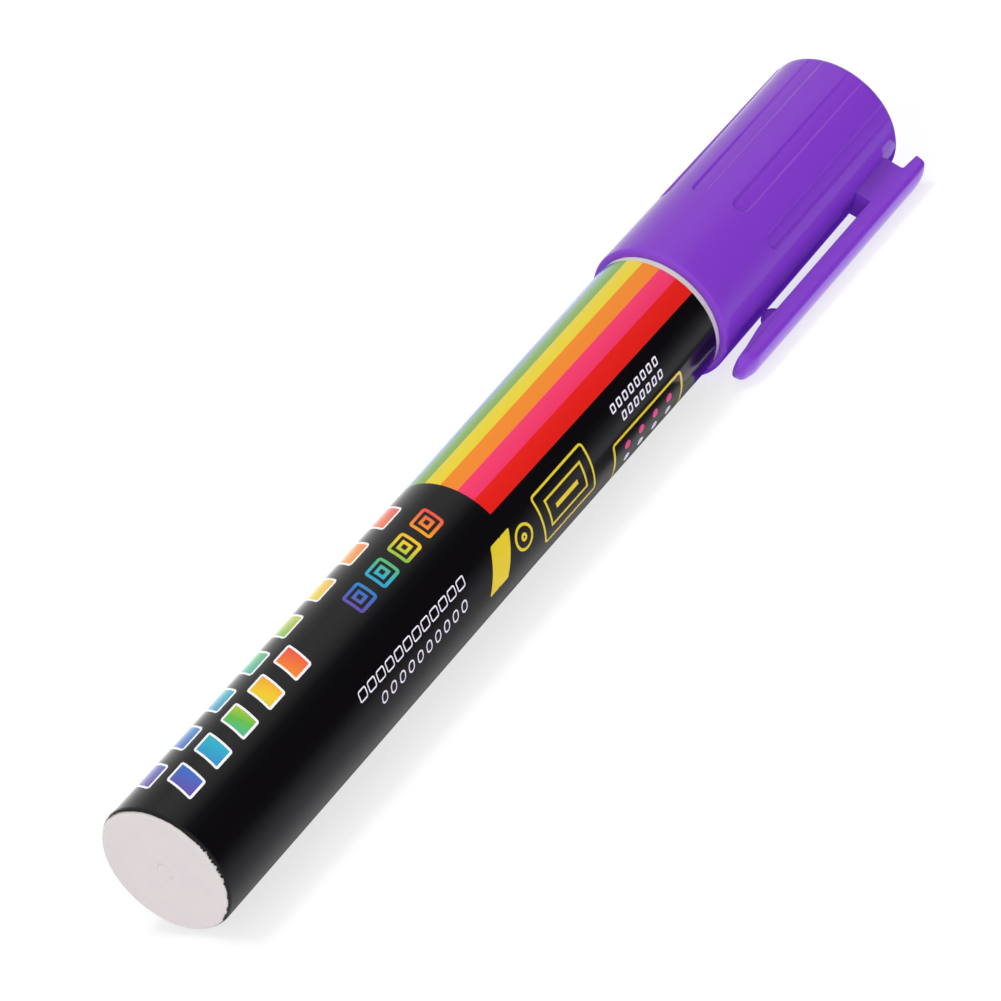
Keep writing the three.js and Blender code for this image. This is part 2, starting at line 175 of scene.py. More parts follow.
def srgb(code: str) -> tuple[float, float, float, float]:
    """Turn an sRGB hex code into the linear colour that a shader takes.

    Args:
        code: Six hex digits.

    Returns:
        Red, green and blue, and an alpha of 1.
    """
    parts = [int(code[i : i + 2], 16) / 255 for i in (0, 2, 4)]
    linear = [c / 12.92 if c <= 0.04045 else ((c + 0.055) / 1.055) ** 2.4 for c in parts]
    return linear[0], linear[1], linear[2], 1.0


def grey(level: float) -> tuple[float, float, float, float]:
    """Colour of an even grey, in linear light."""
    return level, level, level, 1.0


def new_material(name: str) -> tuple[bpy.types.Material, bpy.types.NodeTree]:
    """Start a material with an empty tree.

    Args:
        name: Its name.

    Returns:
        The material and its tree.
    """
    made = bpy.data.materials.new(name)
    made.use_nodes = True
    made.node_tree.nodes.clear()
    return made, made.node_tree


def add_node(
    tree: bpy.types.NodeTree, kind: str, inputs: dict[Any, Any] | None = None, **settings: Any
) -> bpy.types.Node:
    """Add one node, set it up and wire it.

    Args:
        tree: The node tree it goes into.
        kind: The node's type.
        inputs: Value or output socket for each input, by name or number.
        settings: The node's own settings.

    Returns:
        The new node.
    """
    node = tree.nodes.new(kind)
    for name, value in settings.items():
        setattr(node, name, value)
    for key, value in (inputs or {}).items():
        if isinstance(value, bpy.types.NodeSocket):
            tree.links.new(value, node.inputs[key])
        else:
            node.inputs[key].default_value = value
    return node


@dataclass(frozen=True)
class Bench:
    """The modelling tools, used on one piece at a time."""

    line: PenLine
    near: float = 0.004
    weld: float = 0.001

    def clear(self) -> None:
        """Leave edit mode and deselect everything."""
        if bpy.context.object and bpy.context.object.mode != "OBJECT":
            bpy.ops.object.mode_set(mode="OBJECT")
        bpy.ops.object.select_all(action="DESELECT")

    def take(self, piece: bpy.types.Object) -> None:
        """Make a piece the only selected one and the active one.

        Args:
            piece: The piece.
        """
        self.clear()
        piece.select_set(True)
        bpy.context.view_layer.objects.active = piece

    def edit(self, piece: bpy.types.Object, kind: str = "VERT") -> bmesh.types.BMesh:
        """Open a piece in edit mode with nothing selected.

        Args:
            piece: The piece.
            kind: What is picked in it: VERT or EDGE.

        Returns:
            The mesh that is being edited.
        """
        self.take(piece)
        bpy.ops.object.mode_set(mode="EDIT")
        bpy.ops.mesh.select_mode(type=kind)
        bpy.ops.mesh.select_all(action="DESELECT")
        return bmesh.from_edit_mesh(piece.data)

    def pick(
        self, piece: bpy.types.Object, test: Callable[[bmesh.types.BMEdge], bool]
    ) -> None:
        """Select the edges that pass a test, and nothing else.

        Args:
            piece: The piece.
            test: Says of one edge whether it is wanted.
        """
        mesh = self.edit(piece, "EDGE")
        for edge in mesh.edges:
            if test(edge):
                edge.select_set(True)
        mesh.select_flush_mode()
        bmesh.update_edit_mesh(piece.data)

    def name(self, name: str) -> bpy.types.Object:
        """Name the primitive just added and put its place into its mesh.

        Args:
            name: The piece's name.

        Returns:
            The piece.
        """
        piece = bpy.context.object
        piece.name = name
        piece.data.name = name
        bpy.ops.object.transform_apply(location=True, rotation=True, scale=True)
        return piece

    def outline(self, name: str, corners: Sequence[Corner]) -> bpy.types.Object:
        """Draw an outline, straight up over the axis, by extruding one point along it.

        Args:
            name: The piece's name.
            corners: The outline's corners. One that starts and ends on the axis stays open.

        Returns:
            The piece, in edit mode.
        """
        self.clear()
        first, last = corners[0], corners[-1]
        bpy.ops.mesh.primitive_plane_add(
            size=MM, location=self.line.at(first.station, first.radius)
        )
        piece = self.name(name)
        bpy.ops.object.mode_set(mode="EDIT")
        bpy.ops.mesh.select_mode(type="VERT")
        bpy.ops.mesh.select_all(action="SELECT")
        bpy.ops.mesh.merge(type="CENTER")
        for here, there in pairwise(corners):
            step = self.line.at(there.station, there.radius)
            step -= self.line.at(here.station, here.radius)
            bpy.ops.mesh.extrude_region_move(TRANSFORM_OT_translate={"value": step})
        if first.radius or last.radius:
            mesh = bmesh.from_edit_mesh(piece.data)
            for vert in mesh.verts:
                vert.select_set(len(vert.link_edges) < 2)
            bmesh.update_edit_mesh(piece.data)
            bpy.ops.mesh.edge_face_add()
        return piece

    def turned(
        self, name: str, corners: Sequence[Corner], steps: int = 160, smooth: float = 32.0
    ) -> bpy.types.Object:
        """Spin an outline round the pen's axis and round its corners.

        Args:
            name: The piece's name.
            corners: The profile, with each corner's rounding.
            steps: Facets round the pen.
            smooth: Angle in degrees up to which neighbouring faces shade as one.

        Returns:
            The finished piece.
        """
        piece = self.outline(name, corners)
        bpy.ops.mesh.select_all(action="SELECT")
        bpy.ops.mesh.spin(
            steps=steps, angle=2 * math.pi, center=self.line.at(0), axis=(1, 0, 0)
        )
        bpy.ops.mesh.select_all(action="SELECT")
        bpy.ops.mesh.remove_doubles(threshold=self.weld * MM)
        bpy.ops.mesh.normals_make_consistent(inside=False)
        for corner in corners:
            if corner.rounding:
                self.round_ring(piece, corner)
        return self.smooth(piece, smooth)

    def round_ring(self, piece: bpy.types.Object, corner: Corner, segments: int = 4) -> None:
        """Bevel the ring of edges at one corner of a turned piece.

        Args:
            piece: The turned piece.
            corner: The corner, with its rounding.
            segments: Steps of the rounding.
        """
        spot = Vector((corner.station, corner.radius))

        def on_ring(edge: bmesh.types.BMEdge) -> bool:
            """Say whether both ends of an edge lie at the corner."""
            ends = (Vector(self.line.read(vert.co)[:2]) for vert in edge.verts)
            return all((end - spot).length < self.near for end in ends)

        self.pick(piece, on_ring)
        bpy.ops.mesh.bevel(
            offset=corner.rounding * MM, segments=segments, profile=0.5, affect="EDGES"
        )

    def smooth(self, piece: bpy.types.Object, angle: float = 32.0) -> bpy.types.Object:
        """Shade a piece smooth, but for its sharp edges.

        Args:
            piece: The piece.
            angle: Angle in degrees from which an edge is sharp.

        Returns:
            The piece.
        """
        self.take(piece)
        bpy.ops.object.shade_smooth_by_angle(angle=math.radians(angle))
        self.clear()
        return piece

    def bar(
        self, name: str, rear: float, front: float, low: float, high: float, width: float
    ) -> bpy.types.Object:
        """Lay a square bar along the pen, straight up over its axis.

        Args:
            name: The piece's name.
            rear: Station of its rear end, in mm.
            front: Station of its front end, in mm.
            low: Radius of its underside, in mm.
            high: Radius of its top, in mm.
            width: Its width, in mm.

        Returns:
            The bar.
        """
        self.clear()
        middle = self.line.at((rear + front) / 2, (low + high) / 2)
        bpy.ops.mesh.primitive_cube_add(size=MM, location=middle)
        bpy.ops.transform.resize(value=(front - rear, width, high - low))
        return self.name(name)

    def ribs(
        self, rib: bpy.types.Object, count: int, rounding: float, segments: int
    ) -> list[bpy.types.Object]:
        """Round a bar's edges and set copies of it round the pen.

        Args:
            rib: The bar.
            count: How many ribs there are in all.
            rounding: Rounding of its edges, in mm.
            segments: Steps of the rounding.

        Returns:
            All the ribs.
        """
        self.edit(rib)
        bpy.ops.mesh.select_all(action="SELECT")
        bpy.ops.mesh.bevel(offset=rounding * MM, segments=segments, profile=0.5, affect="EDGES")
        self.smooth(rib)
        return self.copies_round(rib, count)

    def copies_round(
        self, piece: bpy.types.Object, count: int, first: float = 0.0
    ) -> list[bpy.types.Object]:
        """Copy a piece round the pen's axis at equal steps, each copy with its own mesh.

        Args:
            piece: The piece at straight up, which becomes the first.
            count: How many there are in all.
            first: Turn of the first, in degrees.

        Returns:
            All of them.
        """
        pieces = [piece]
        for _ in range(count - 1):
            self.take(piece)
            bpy.ops.object.duplicate(linked=False)
            pieces.append(bpy.context.object)
        for index, copy in enumerate(pieces):
            self.turn(copy, first + 360.0 * index / count)
        return pieces

    def turn(self, piece: bpy.types.Object, degrees: float) -> None:
        """Turn a piece's mesh round the pen's axis.

        Args:
            piece: The piece.
            degrees: How far, from straight up towards -Y.
        """
        self.edit(piece)
        bpy.ops.mesh.select_all(action="SELECT")
        bpy.ops.transform.rotate(
            value=-math.radians(degrees), orient_axis="X", center_override=self.line.at(0)
        )
        self.clear()

    def join(self, pieces: Sequence[bpy.types.Object]) -> bpy.types.Object:
        """Join pieces into the first of them.

        Args:
            pieces: The pieces.

        Returns:
            The first piece, which holds them all.
        """
        self.take(pieces[0])
        for piece in pieces[1:]:
            piece.select_set(True)
        bpy.ops.object.join()
        self.clear()
        return pieces[0]

    def apply(self, piece: bpy.types.Object, kind: str, **settings: Any) -> None:
        """Give a piece a modifier and apply it.

        Args:
            piece: The piece.
            kind: The modifier's type.
            settings: The modifier's own settings.
        """
        self.take(piece)
        modifier = piece.modifiers.new(kind.title(), kind)
        for name, value in settings.items():
            setattr(modifier, name, value)
        bpy.ops.object.modifier_apply(modifier=modifier.name)
        self.clear()

    def dress(
        self,
        piece: bpy.types.Object,
        material: bpy.types.Material,
        slot: Slot,
        body: Body | None,
        *nodes: str,
    ) -> bpy.types.Object:
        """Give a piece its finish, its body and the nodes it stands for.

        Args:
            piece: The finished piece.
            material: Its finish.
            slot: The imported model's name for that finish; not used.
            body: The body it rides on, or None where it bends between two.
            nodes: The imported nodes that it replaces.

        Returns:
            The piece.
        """
        piece.data.materials.clear()
        piece.data.materials.append(material)
        if body:
            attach(piece, body.value)
        if nodes:
            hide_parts(*nodes)
        faces = len(piece.data.polygons)
        LOG.info("%s: %d faces, finish %s", piece.name, faces, material.name)
        return piece


@dataclass(frozen=True)
class MouldedPlastic:
    """Injection-moulded plastic: the tool's polish, faint sink marks and flow, and no grain.

    Each layer of unevenness has its width and height in mm, and how much detail it holds.
    """

    name: str
    colour: str
    shade: str
    roughness: float
    specular_ior: float = 1.5
    glow: float = 0.0
    glow_reach: float = 0.8
    layers: tuple[tuple[float, float, float], ...] = ((6.0, 0.012, 1.0), (0.5, 0.0012, 2.0))
    mottle: float = 0.25
    mottle_size: float = 3.0
    mottle_range: tuple[float, float] = (0.35, 0.65)
    polish_range: tuple[float, float] = (0.3, 0.7)
    polish_shares: tuple[float, float] = (0.9, 1.12)
    glow_tint: tuple[float, float, float] = (1.0, 0.6, 0.9)

    def material(self) -> bpy.types.Material:
        """Make the finish.

        Returns:
            A material on Object coordinates, with its sizes in real millimetres.
        """
        made, tree = new_material(self.name)
        place = add_node(tree, "ShaderNodeTexCoord").outputs["Object"]
        # Colour drifts a little where the melt flowed and cooled unevenly
        flow = add_node(
            tree,
            "ShaderNodeTexNoise",
            {"Vector": place, "Scale": 1 / (self.mottle_size * MM), "Detail": 3.0},
        )
        drift = add_node(
            tree,
            "ShaderNodeMapRange",
            {
                0: flow.outputs["Fac"],
                1: self.mottle_range[0],
                2: self.mottle_range[1],
                3: 0.0,
                4: self.mottle,
            },
        )
        colour = add_node(
            tree,
            "ShaderNodeMix",
            {0: drift.outputs[0], 6: srgb(self.colour), 7: srgb(self.shade)},
            data_type="RGBA",
        )
        # The tool's polish is uneven over a few millimetres
        polish = add_node(
            tree,
            "ShaderNodeMapRange",
            {
                0: flow.outputs["Fac"],
                1: self.polish_range[0],
                2: self.polish_range[1],
                3: self.roughness * self.polish_shares[0],
                4: self.roughness * self.polish_shares[1],
            },
        )
        # Sink marks are a few millimetres wide, and the skin's peel half a millimetre
        normal: dict[Any, Any] = {}
        for size, height, detail in self.layers:
            waves = add_node(
                tree,
                "ShaderNodeTexNoise",
                {"Vector": place, "Scale": 1 / (size * MM), "Detail": detail},
            )
            bump = {"Height": waves.outputs["Fac"], "Distance": height * MM, "Strength": 1.0}
            raised = add_node(tree, "ShaderNodeBump", bump | normal)
            normal = {"Normal": raised.outputs["Normal"]}
        surface = add_node(
            tree,
            "ShaderNodeBsdfPrincipled",
            {
                "Base Color": colour.outputs[2],
                "Roughness": polish.outputs[0],
                "IOR": self.specular_ior,
                "Subsurface Weight": self.glow,
                "Subsurface Scale": self.glow_reach * MM,
                "Subsurface Radius": self.glow_tint,
                **normal,
            },
        )
        add_node(tree, "ShaderNodeOutputMaterial", {"Surface": surface.outputs[0]})
        return made


@dataclass(frozen=True)
class PressedFibre:
    """Polyester fibre pressed and ground to a nib: matt, with fine threads along it."""

    name: str = "pressed_polyester_fibre"
    colour: str = "f1eee6"
    shade: str = "d9d4c8"
    thread: float = 0.16
    drawn_out: float = 0.06
    nap: float = 0.02
    nap_strength: float = 0.8
    roughness: float = 0.92
    fuzz: float = 0.2

    def material(self) -> bpy.types.Material:
        """Make the finish, with threads drawn at their real width.

        Returns:
            A material on Object coordinates, with its sizes in real millimetres.
        """
        made, tree = new_material(self.name)
        place = add_node(tree, "ShaderNodeTexCoord").outputs["Object"]
        # The threads lie along the nib, so the pattern is drawn out that way
        along = add_node(
            tree, "ShaderNodeMapping", {"Vector": place, "Scale": (self.drawn_out, 1.0, 1.0)}
        )
        threads = add_node(
            tree,
            "ShaderNodeTexNoise",
            {"Vector": along.outputs[0], "Scale": 1 / (self.thread * MM), "Detail": 4.0},
        )
        colour = add_node(
            tree,
            "ShaderNodeMix",
            {0: threads.outputs["Fac"], 6: srgb(self.shade), 7: srgb(self.colour)},
            data_type="RGBA",
        )
        nap = add_node(
            tree,
            "ShaderNodeBump",
            {
                "Height": threads.outputs["Fac"],
                "Distance": self.nap * MM,
                "Strength": self.nap_strength,
            },
        )
        surface = add_node(
            tree,
            "ShaderNodeBsdfPrincipled",
            {
                "Base Color": colour.outputs[2],
                "Roughness": self.roughness,
                "Normal": nap.outputs["Normal"],
                "Sheen Weight": self.fuzz,
            },
        )
        add_node(tree, "ShaderNodeOutputMaterial", {"Surface": surface.outputs[0]})
        return made


@dataclass(frozen=True)
class DrawnSteel:
    """Stainless steel, drawn to wire or rolled to a ball: bright, with fine scratches."""

    name: str
    colour: str = "c3c5c8"
    roughness: float = 0.24
    scratch: float = 0.08
    scratch_depth: float = 0.002
    polish_shares: tuple[float, float] = (0.7, 1.4)

    def material(self) -> bpy.types.Material:
        """Make the finish, with scratches coarse enough to show.

        Returns:
            A material on Object coordinates, with its sizes in real millimetres.
        """
        made, tree = new_material(self.name)
        place = add_node(tree, "ShaderNodeTexCoord").outputs["Object"]
        scratches = add_node(
            tree,
            "ShaderNodeTexNoise",
            {"Vector": place, "Scale": 1 / (self.scratch * MM), "Detail": 3.0},
        )
        rough = add_node(
            tree,
            "ShaderNodeMapRange",
            {
                0: scratches.outputs["Fac"],
                3: self.roughness * self.polish_shares[0],
                4: self.roughness * self.polish_shares[1],
            },
        )
        marks = add_node(
            tree,
            "ShaderNodeBump",
            {
                "Height": scratches.outputs["Fac"],
                "Distance": self.scratch_depth * MM,
                "Strength": 1.0,
            },
        )
        surface = add_node(
            tree,
            "ShaderNodeBsdfPrincipled",
            {
                "Base Color": srgb(self.colour),
                "Metallic": 1.0,
                "Roughness": rough.outputs[0],
                "Normal": marks.outputs["Normal"],
            },
        )
        add_node(tree, "ShaderNodeOutputMaterial", {"Surface": surface.outputs[0]})
        return made


class Ink(Enum):
    """How a row of the print is filled."""

    WHITE = "fbfbfb"
    YELLOW = "f0dc2c"
    PINK = "ee3f86"
    RAINBOW = "rainbow"


@dataclass(frozen=True)
class PrintRow:
    """A row of like marks in the print: slanted bars, dots, dashes or nested squares.

    Stations and sizes are in mm, and across is in mm round the film from the line that faces the
    camera. Marks are rounded boxes with an outline of their own colour.
    """

    start: float
    end: float
    across: float
    half_length: float
    half_height: float
    pitch: float
    rounding: float
    ink: Ink
    slant: float = 0.0
    rim: float = 0.0
    nested: float = 0.0
    line: float = 0.0


@dataclass(frozen=True)
class Stripe:
    """A lengthwise stripe of the print, up to a turn round the pen from the camera's line."""

    up_to: float
    colour: str


@dataclass(frozen=True)
class PrintedFilm:
    """Heat-shrunk PET film with a printed pattern: smooth, glossy, with a faint orange peel."""

    line: PenLine
    radius: float = 8.12
    ground: str = "0d0c0e"
    roughness: float = 0.13
    stripes_from: float = 56.7
    stripe_lean: float = 0.0686
    lean_from: float = 60.0
    end_cut: float = 100.0
    wave_stretch: float = 0.35
    wave_size: float = 5.0
    wave_height: float = 0.006
    peel_size: float = 0.4
    peel_height: float = 0.0003
    handled_range: tuple[float, float] = (0.3, 0.7)
    handled_shares: tuple[float, float] = (0.85, 1.15)
    specular_ior: float = 1.5
    stripes: tuple[Stripe, ...] = (
        Stripe(-112.0, "0d0c0e"),
        Stripe(-98.0, "6a4fae"),
        Stripe(-86.0, "4b86cf"),
        Stripe(-74.0, "5f98cc"),
        Stripe(-59.0, "7fae4e"),
        Stripe(-43.5, "ecd52a"),
        Stripe(-28.0, "f48a22"),
        Stripe(-12.0, "f43768"),
        Stripe(5.0, "e8231c"),
        Stripe(180.0, "0d0c0e"),
    )
    rainbow: tuple[str, ...] = (
        "6b3fa0",
        "2f6fc4",
        "23b0c8",
        "5fbf3f",
        "f2d024",
        "f58a1f",
        "ee3347",
    )
    rows: tuple[PrintRow, ...] = (
        PrintRow(3.5, 28.5, -4.9, 1.55, 2.0, 5.0, 0.35, Ink.RAINBOW, 0.35, 0.3),
        PrintRow(3.0, 54.2, -10.4, 2.0, 2.3, 6.4, 0.5, Ink.RAINBOW, 0.35, 0.3),
        PrintRow(35.5, 53.1, -4.0, 1.6, 1.6, 4.4, 0.5, Ink.RAINBOW, 0.2, 0.0, 0.85, 0.42),
        PrintRow(27.5, 48.5, 3.4, 0.72, 0.62, 1.75, 0.3, Ink.WHITE, 0.3, 0.0, 9.0, 0.17),
        PrintRow(30.0, 47.5, 5.7, 0.55, 0.62, 1.75, 0.5, Ink.WHITE, 0.3, 0.0, 9.0, 0.17),
        PrintRow(52.4, 56.0, 5.6, 0.95, 2.4, 1.8, 0.3, Ink.YELLOW, 0.6, 0.0),
        PrintRow(57.2, 60.4, 5.6, 1.6, 1.6, 3.2, 1.6, Ink.YELLOW, 0.0, 0.0, 1.1, 0.35),
        PrintRow(61.6, 73.0, 6.1, 5.2, 3.3, 11.4, 0.6, Ink.YELLOW, 0.0, 0.0, 1.5, 0.3),
        PrintRow(78.4, 88.4, 3.2, 0.42, 0.5, 1.25, 0.2, Ink.WHITE, 0.25, 0.0, 9.0, 0.2),
        PrintRow(79.4, 88.15, 4.8, 0.42, 0.5, 1.25, 0.2, Ink.WHITE, 0.25, 0.0, 9.0, 0.2),
        PrintRow(76.2, 91.0, 9.6, 7.2, 3.1, 14.8, 0.5, Ink.YELLOW, 0.0, 0.0, 9.0, 0.35),
        PrintRow(77.8, 89.4, 8.4, 0.55, 0.55, 2.9, 0.55, Ink.PINK),
        PrintRow(77.8, 89.4, 10.4, 0.55, 0.55, 2.9, 0.55, Ink.WHITE),
    )

    def material(self) -> bpy.types.Material:
        """Make the film's finish with its print.

        Returns:
            A material that reads the mark under each point from its station and its turn.
        """
        made, tree = new_material("printed_shrink_film")
        place = add_node(tree, "ShaderNodeTexCoord").outputs["Object"]
        parts = add_node(tree, "ShaderNodeSeparateXYZ", {0: place})
        shifted = {
            key: add_node(
                tree, "ShaderNodeMath", {0: parts.outputs[key], 1: origin}, operation="SUBTRACT"
            ).outputs[0]
            for key, origin in ((0, self.line.rear), (1, self.line.side), (2, self.line.height))
        }
        station = add_node(
            tree, "ShaderNodeMath", {0: shifted[0], 1: 1 / MM}, operation="MULTIPLY"
        ).outputs[0]
        # The turn is measured from the line that faces the camera: the axes are turned to it first
        lean = math.radians(FACING)
        turned = add_node(
            tree,
            "ShaderNodeVectorRotate",
            {
                "Vector": add_node(
                    tree, "ShaderNodeCombineXYZ", {0: 0.0, 1: shifted[1], 2: shifted[2]}
                ).outputs[0],
                "Angle": -lean,
            },
            rotation_type="X_AXIS",
        )
        faced = add_node(tree, "ShaderNodeSeparateXYZ", {0: turned.outputs[0]})
        minus_y = add_node(
            tree, "ShaderNodeMath", {0: faced.outputs[1], 1: -1.0}, operation="MULTIPLY"
        )
        angle = add_node(
            tree,
            "ShaderNodeMath",
            {0: minus_y.outputs[0], 1: faced.outputs[2]},
            operation="ARCTAN2",
        ).outputs[0]
        across = add_node(
            tree, "ShaderNodeMath", {0: angle, 1: self.radius}, operation="MULTIPLY"
        ).outputs[0]
        colour = self.striped(tree, station, angle)
        for row in self.rows:
            colour = self.marked(tree, colour, station, across, row)
        surface = self.glossed(tree, place, colour)
        add_node(tree, "ShaderNodeOutputMaterial", {"Surface": surface.outputs[0]})
        return made

    def striped(
        self, tree: bpy.types.NodeTree, station: bpy.types.NodeSocket, angle: bpy.types.NodeSocket
    ) -> bpy.types.NodeSocket:
        """Colour of the ground and its lengthwise stripes.

        Args:
            tree: The material's tree.
            station: Station in mm.
            angle: Turn from the camera's line, in radians.

        Returns:
            The colour's socket.
        """
        past = add_node(
            tree, "ShaderNodeMath", {0: station, 1: self.lean_from}, operation="SUBTRACT"
        ).outputs[0]
        slope = -math.radians(self.stripe_lean)
        level = add_node(
            tree, "ShaderNodeMath", {0: past, 1: slope, 2: angle}, operation="MULTIPLY_ADD"
        ).outputs[0]
        share = add_node(
            tree, "ShaderNodeMapRange", {0: level, 1: -math.pi, 2: math.pi, 3: 0.0, 4: 1.0}
        ).outputs[0]
        ramp = add_node(tree, "ShaderNodeValToRGB", {0: share})
        ramp.color_ramp.interpolation = "CONSTANT"
        edges = [-180.0, *(stripe.up_to for stripe in self.stripes[:-1])]
        for index, (edge, stripe) in enumerate(zip(edges, self.stripes)):
            where = (edge + 180.0) / 360.0
            stops = ramp.color_ramp.elements
            stop = stops[0] if index == 0 else stops.new(where)
            stop.position = where
            stop.color = srgb(stripe.colour)
        stops.remove(stops[-1])
        begun = add_node(
            tree, "ShaderNodeMath", {0: station, 1: self.stripes_from}, operation="GREATER_THAN"
        ).outputs[0]
        return add_node(
            tree,
            "ShaderNodeMix",
            {0: begun, 6: srgb(self.ground), 7: ramp.outputs[0]},
            data_type="RGBA",
        ).outputs[2]

    def marked(
        self,
        tree: bpy.types.NodeTree,
        below: bpy.types.NodeSocket,
        station: bpy.types.NodeSocket,
        across: bpy.types.NodeSocket,
        row: PrintRow,
    ) -> bpy.types.NodeSocket:
        """Print one row of marks over the colour below.

        Args:
            tree: The material's tree.
            below: Colour under the marks.
            station: Station in mm.
            across: Distance in mm round the film from the camera's line.
            row: The row.

        Returns:
            The colour with the row on it.
        """
        cells = round((row.end - row.start) / row.pitch)
        # Distance in mm to the edge of the nearest mark, which is below zero inside it and rises
        # steeply past the row's ends. Each line names its result and works on the ones above it.
        sums: list[tuple[str, str, tuple[str | float, ...]]] = [
            ("height", "SUBTRACT", ("across", row.across)),
            ("leant", "MULTIPLY_ADD", ("height", row.slant, "station")),
            ("run", "SUBTRACT", ("leant", row.start)),
            ("cell", "DIVIDE", ("run", row.pitch)),
            ("part", "FRACT", ("cell",)),
            ("inside", "MULTIPLY_ADD", ("part", row.pitch, -row.pitch / 2)),
            ("long", "ABSOLUTE", ("inside",)),
            ("high", "ABSOLUTE", ("height",)),
            ("wide", "SUBTRACT", ("long", row.half_length - row.rounding)),
            ("tall", "SUBTRACT", ("high", row.half_height - row.rounding)),
            ("wide_out", "MAXIMUM", ("wide", 0.0)),
            ("tall_out", "MAXIMUM", ("tall", 0.0)),
            ("wide_square", "MULTIPLY", ("wide_out", "wide_out")),
            ("squares", "MULTIPLY_ADD", ("tall_out", "tall_out", "wide_square")),
            ("outside", "SQRT", ("squares",)),
            ("nearest", "MAXIMUM", ("wide", "tall")),
            ("deep", "MINIMUM", ("nearest", 0.0)),
            ("away", "ADD", ("outside", "deep")),
            ("rounded", "SUBTRACT", ("away", row.rounding)),
            ("from_middle", "SUBTRACT", ("cell", cells / 2)),
            ("apart", "ABSOLUTE", ("from_middle",)),
            ("past_end", "SUBTRACT", ("apart", cells / 2)),
            ("cut_off", "MULTIPLY", ("past_end", self.end_cut)),
            ("edge", "MAXIMUM", ("rounded", "cut_off")),
            ("mark", "LESS_THAN", ("edge", 0.0)),
        ]
        if row.rim:
            sums.append(("core", "LESS_THAN", ("edge", -row.rim)))
        if row.nested:
            sums += [
                ("ring", "DIVIDE", ("edge", -row.nested)),
                ("ring_part", "FRACT", ("ring",)),
                ("ring_depth", "MULTIPLY", ("ring_part", row.nested)),
                ("on_line", "LESS_THAN", ("ring_depth", row.line)),
                ("mark", "MULTIPLY", ("mark", "on_line")),
            ]
        found: dict[str | float, Any] = {"station": station, "across": across}
        for name, operation, values in sums:
            inputs = {number: found.get(value, value) for number, value in enumerate(values)}
            found[name] = add_node(tree, "ShaderNodeMath", inputs, operation=operation).outputs[0]
        rainbow = row.ink is Ink.RAINBOW
        ink: Any = self.shaded(tree, station, row) if rainbow else srgb(row.ink.value)
        if row.rim:
            ink = add_node(
                tree,
                "ShaderNodeMix",
                {0: found["core"], 6: srgb(Ink.WHITE.value), 7: ink},
                data_type="RGBA",
            ).outputs[2]
        return add_node(
            tree, "ShaderNodeMix", {0: found["mark"], 6: below, 7: ink}, data_type="RGBA"
        ).outputs[2]

    def shaded(
        self, tree: bpy.types.NodeTree, station: bpy.types.NodeSocket, row: PrintRow
    ) -> bpy.types.NodeSocket:
        """Colour that runs through the rainbow along a row.

        Args:
            tree: The material's tree.
            station: Station in mm.
            row: The row.

        Returns:
            The colour's socket.
        """
        share = add_node(
            tree, "ShaderNodeMapRange", {0: station, 1: row.start, 2: row.end, 3: 0.0, 4: 1.0}
        ).outputs[0]
        ramp = add_node(tree, "ShaderNodeValToRGB", {0: share})
        stops = ramp.color_ramp.elements
        for index, code in enumerate(self.rainbow[:-1]):
            where = index / (len(self.rainbow) - 1)
            stop = stops[0] if index == 0 else stops.new(where)
            stop.color = srgb(code)
        stops[-1].color = srgb(self.rainbow[-1])
        return ramp.outputs[0]

    def glossed(
        self, tree: bpy.types.NodeTree, place: bpy.types.NodeSocket, colour: bpy.types.NodeSocket
    ) -> bpy.types.Node:
        """The film's gloss over its print.

        Args:
            tree: The material's tree.
            place: Object coordinates.
            colour: The print.

        Returns:
            The surface node.
        """
        # Shrinking leaves long shallow waves, and the print a peel of half a millimetre
        drawn = add_node(
            tree, "ShaderNodeMapping", {"Vector": place, "Scale": (self.wave_stretch, 1.0, 1.0)}
        )
        wave = add_node(
            tree,
            "ShaderNodeTexNoise",
            {"Vector": drawn.outputs[0], "Scale": 1 / (self.wave_size * MM), "Detail": 1.0},
        )
        waved = add_node(
            tree,
            "ShaderNodeBump",
            {"Height": wave.outputs["Fac"], "Distance": self.wave_height * MM, "Strength": 1.0},
        )
        skin = add_node(
            tree,
            "ShaderNodeTexNoise",
            {"Vector": place, "Scale": 1 / (self.peel_size * MM), "Detail": 2.0},
        )
        peel = add_node(
            tree,
            "ShaderNodeBump",
            {
                "Height": skin.outputs["Fac"],
                "Distance": self.peel_height * MM,
                "Strength": 1.0,
                "Normal": waved.outputs["Normal"],
            },
        )
        handled = add_node(
            tree,
            "ShaderNodeMapRange",
            {
                0: wave.outputs["Fac"],
                1: self.handled_range[0],
                2: self.handled_range[1],
                3: self.roughness * self.handled_shares[0],
                4: self.roughness * self.handled_shares[1],
            },
        )
        return add_node(
            tree,
            "ShaderNodeBsdfPrincipled",
            {
                "Base Color": colour,
                "Roughness": handled.outputs[0],
                "Normal": peel.outputs["Normal"],
                "IOR": self.specular_ior,
            },
        )


@dataclass(frozen=True)
class Wave:
    """One wave of the film's cut edge: how many go round the pen, how far and from where.

    The height is in degrees of the barrel's rear corner, and the phase in radians.
    """

    count: int
    height: float
    phase: float


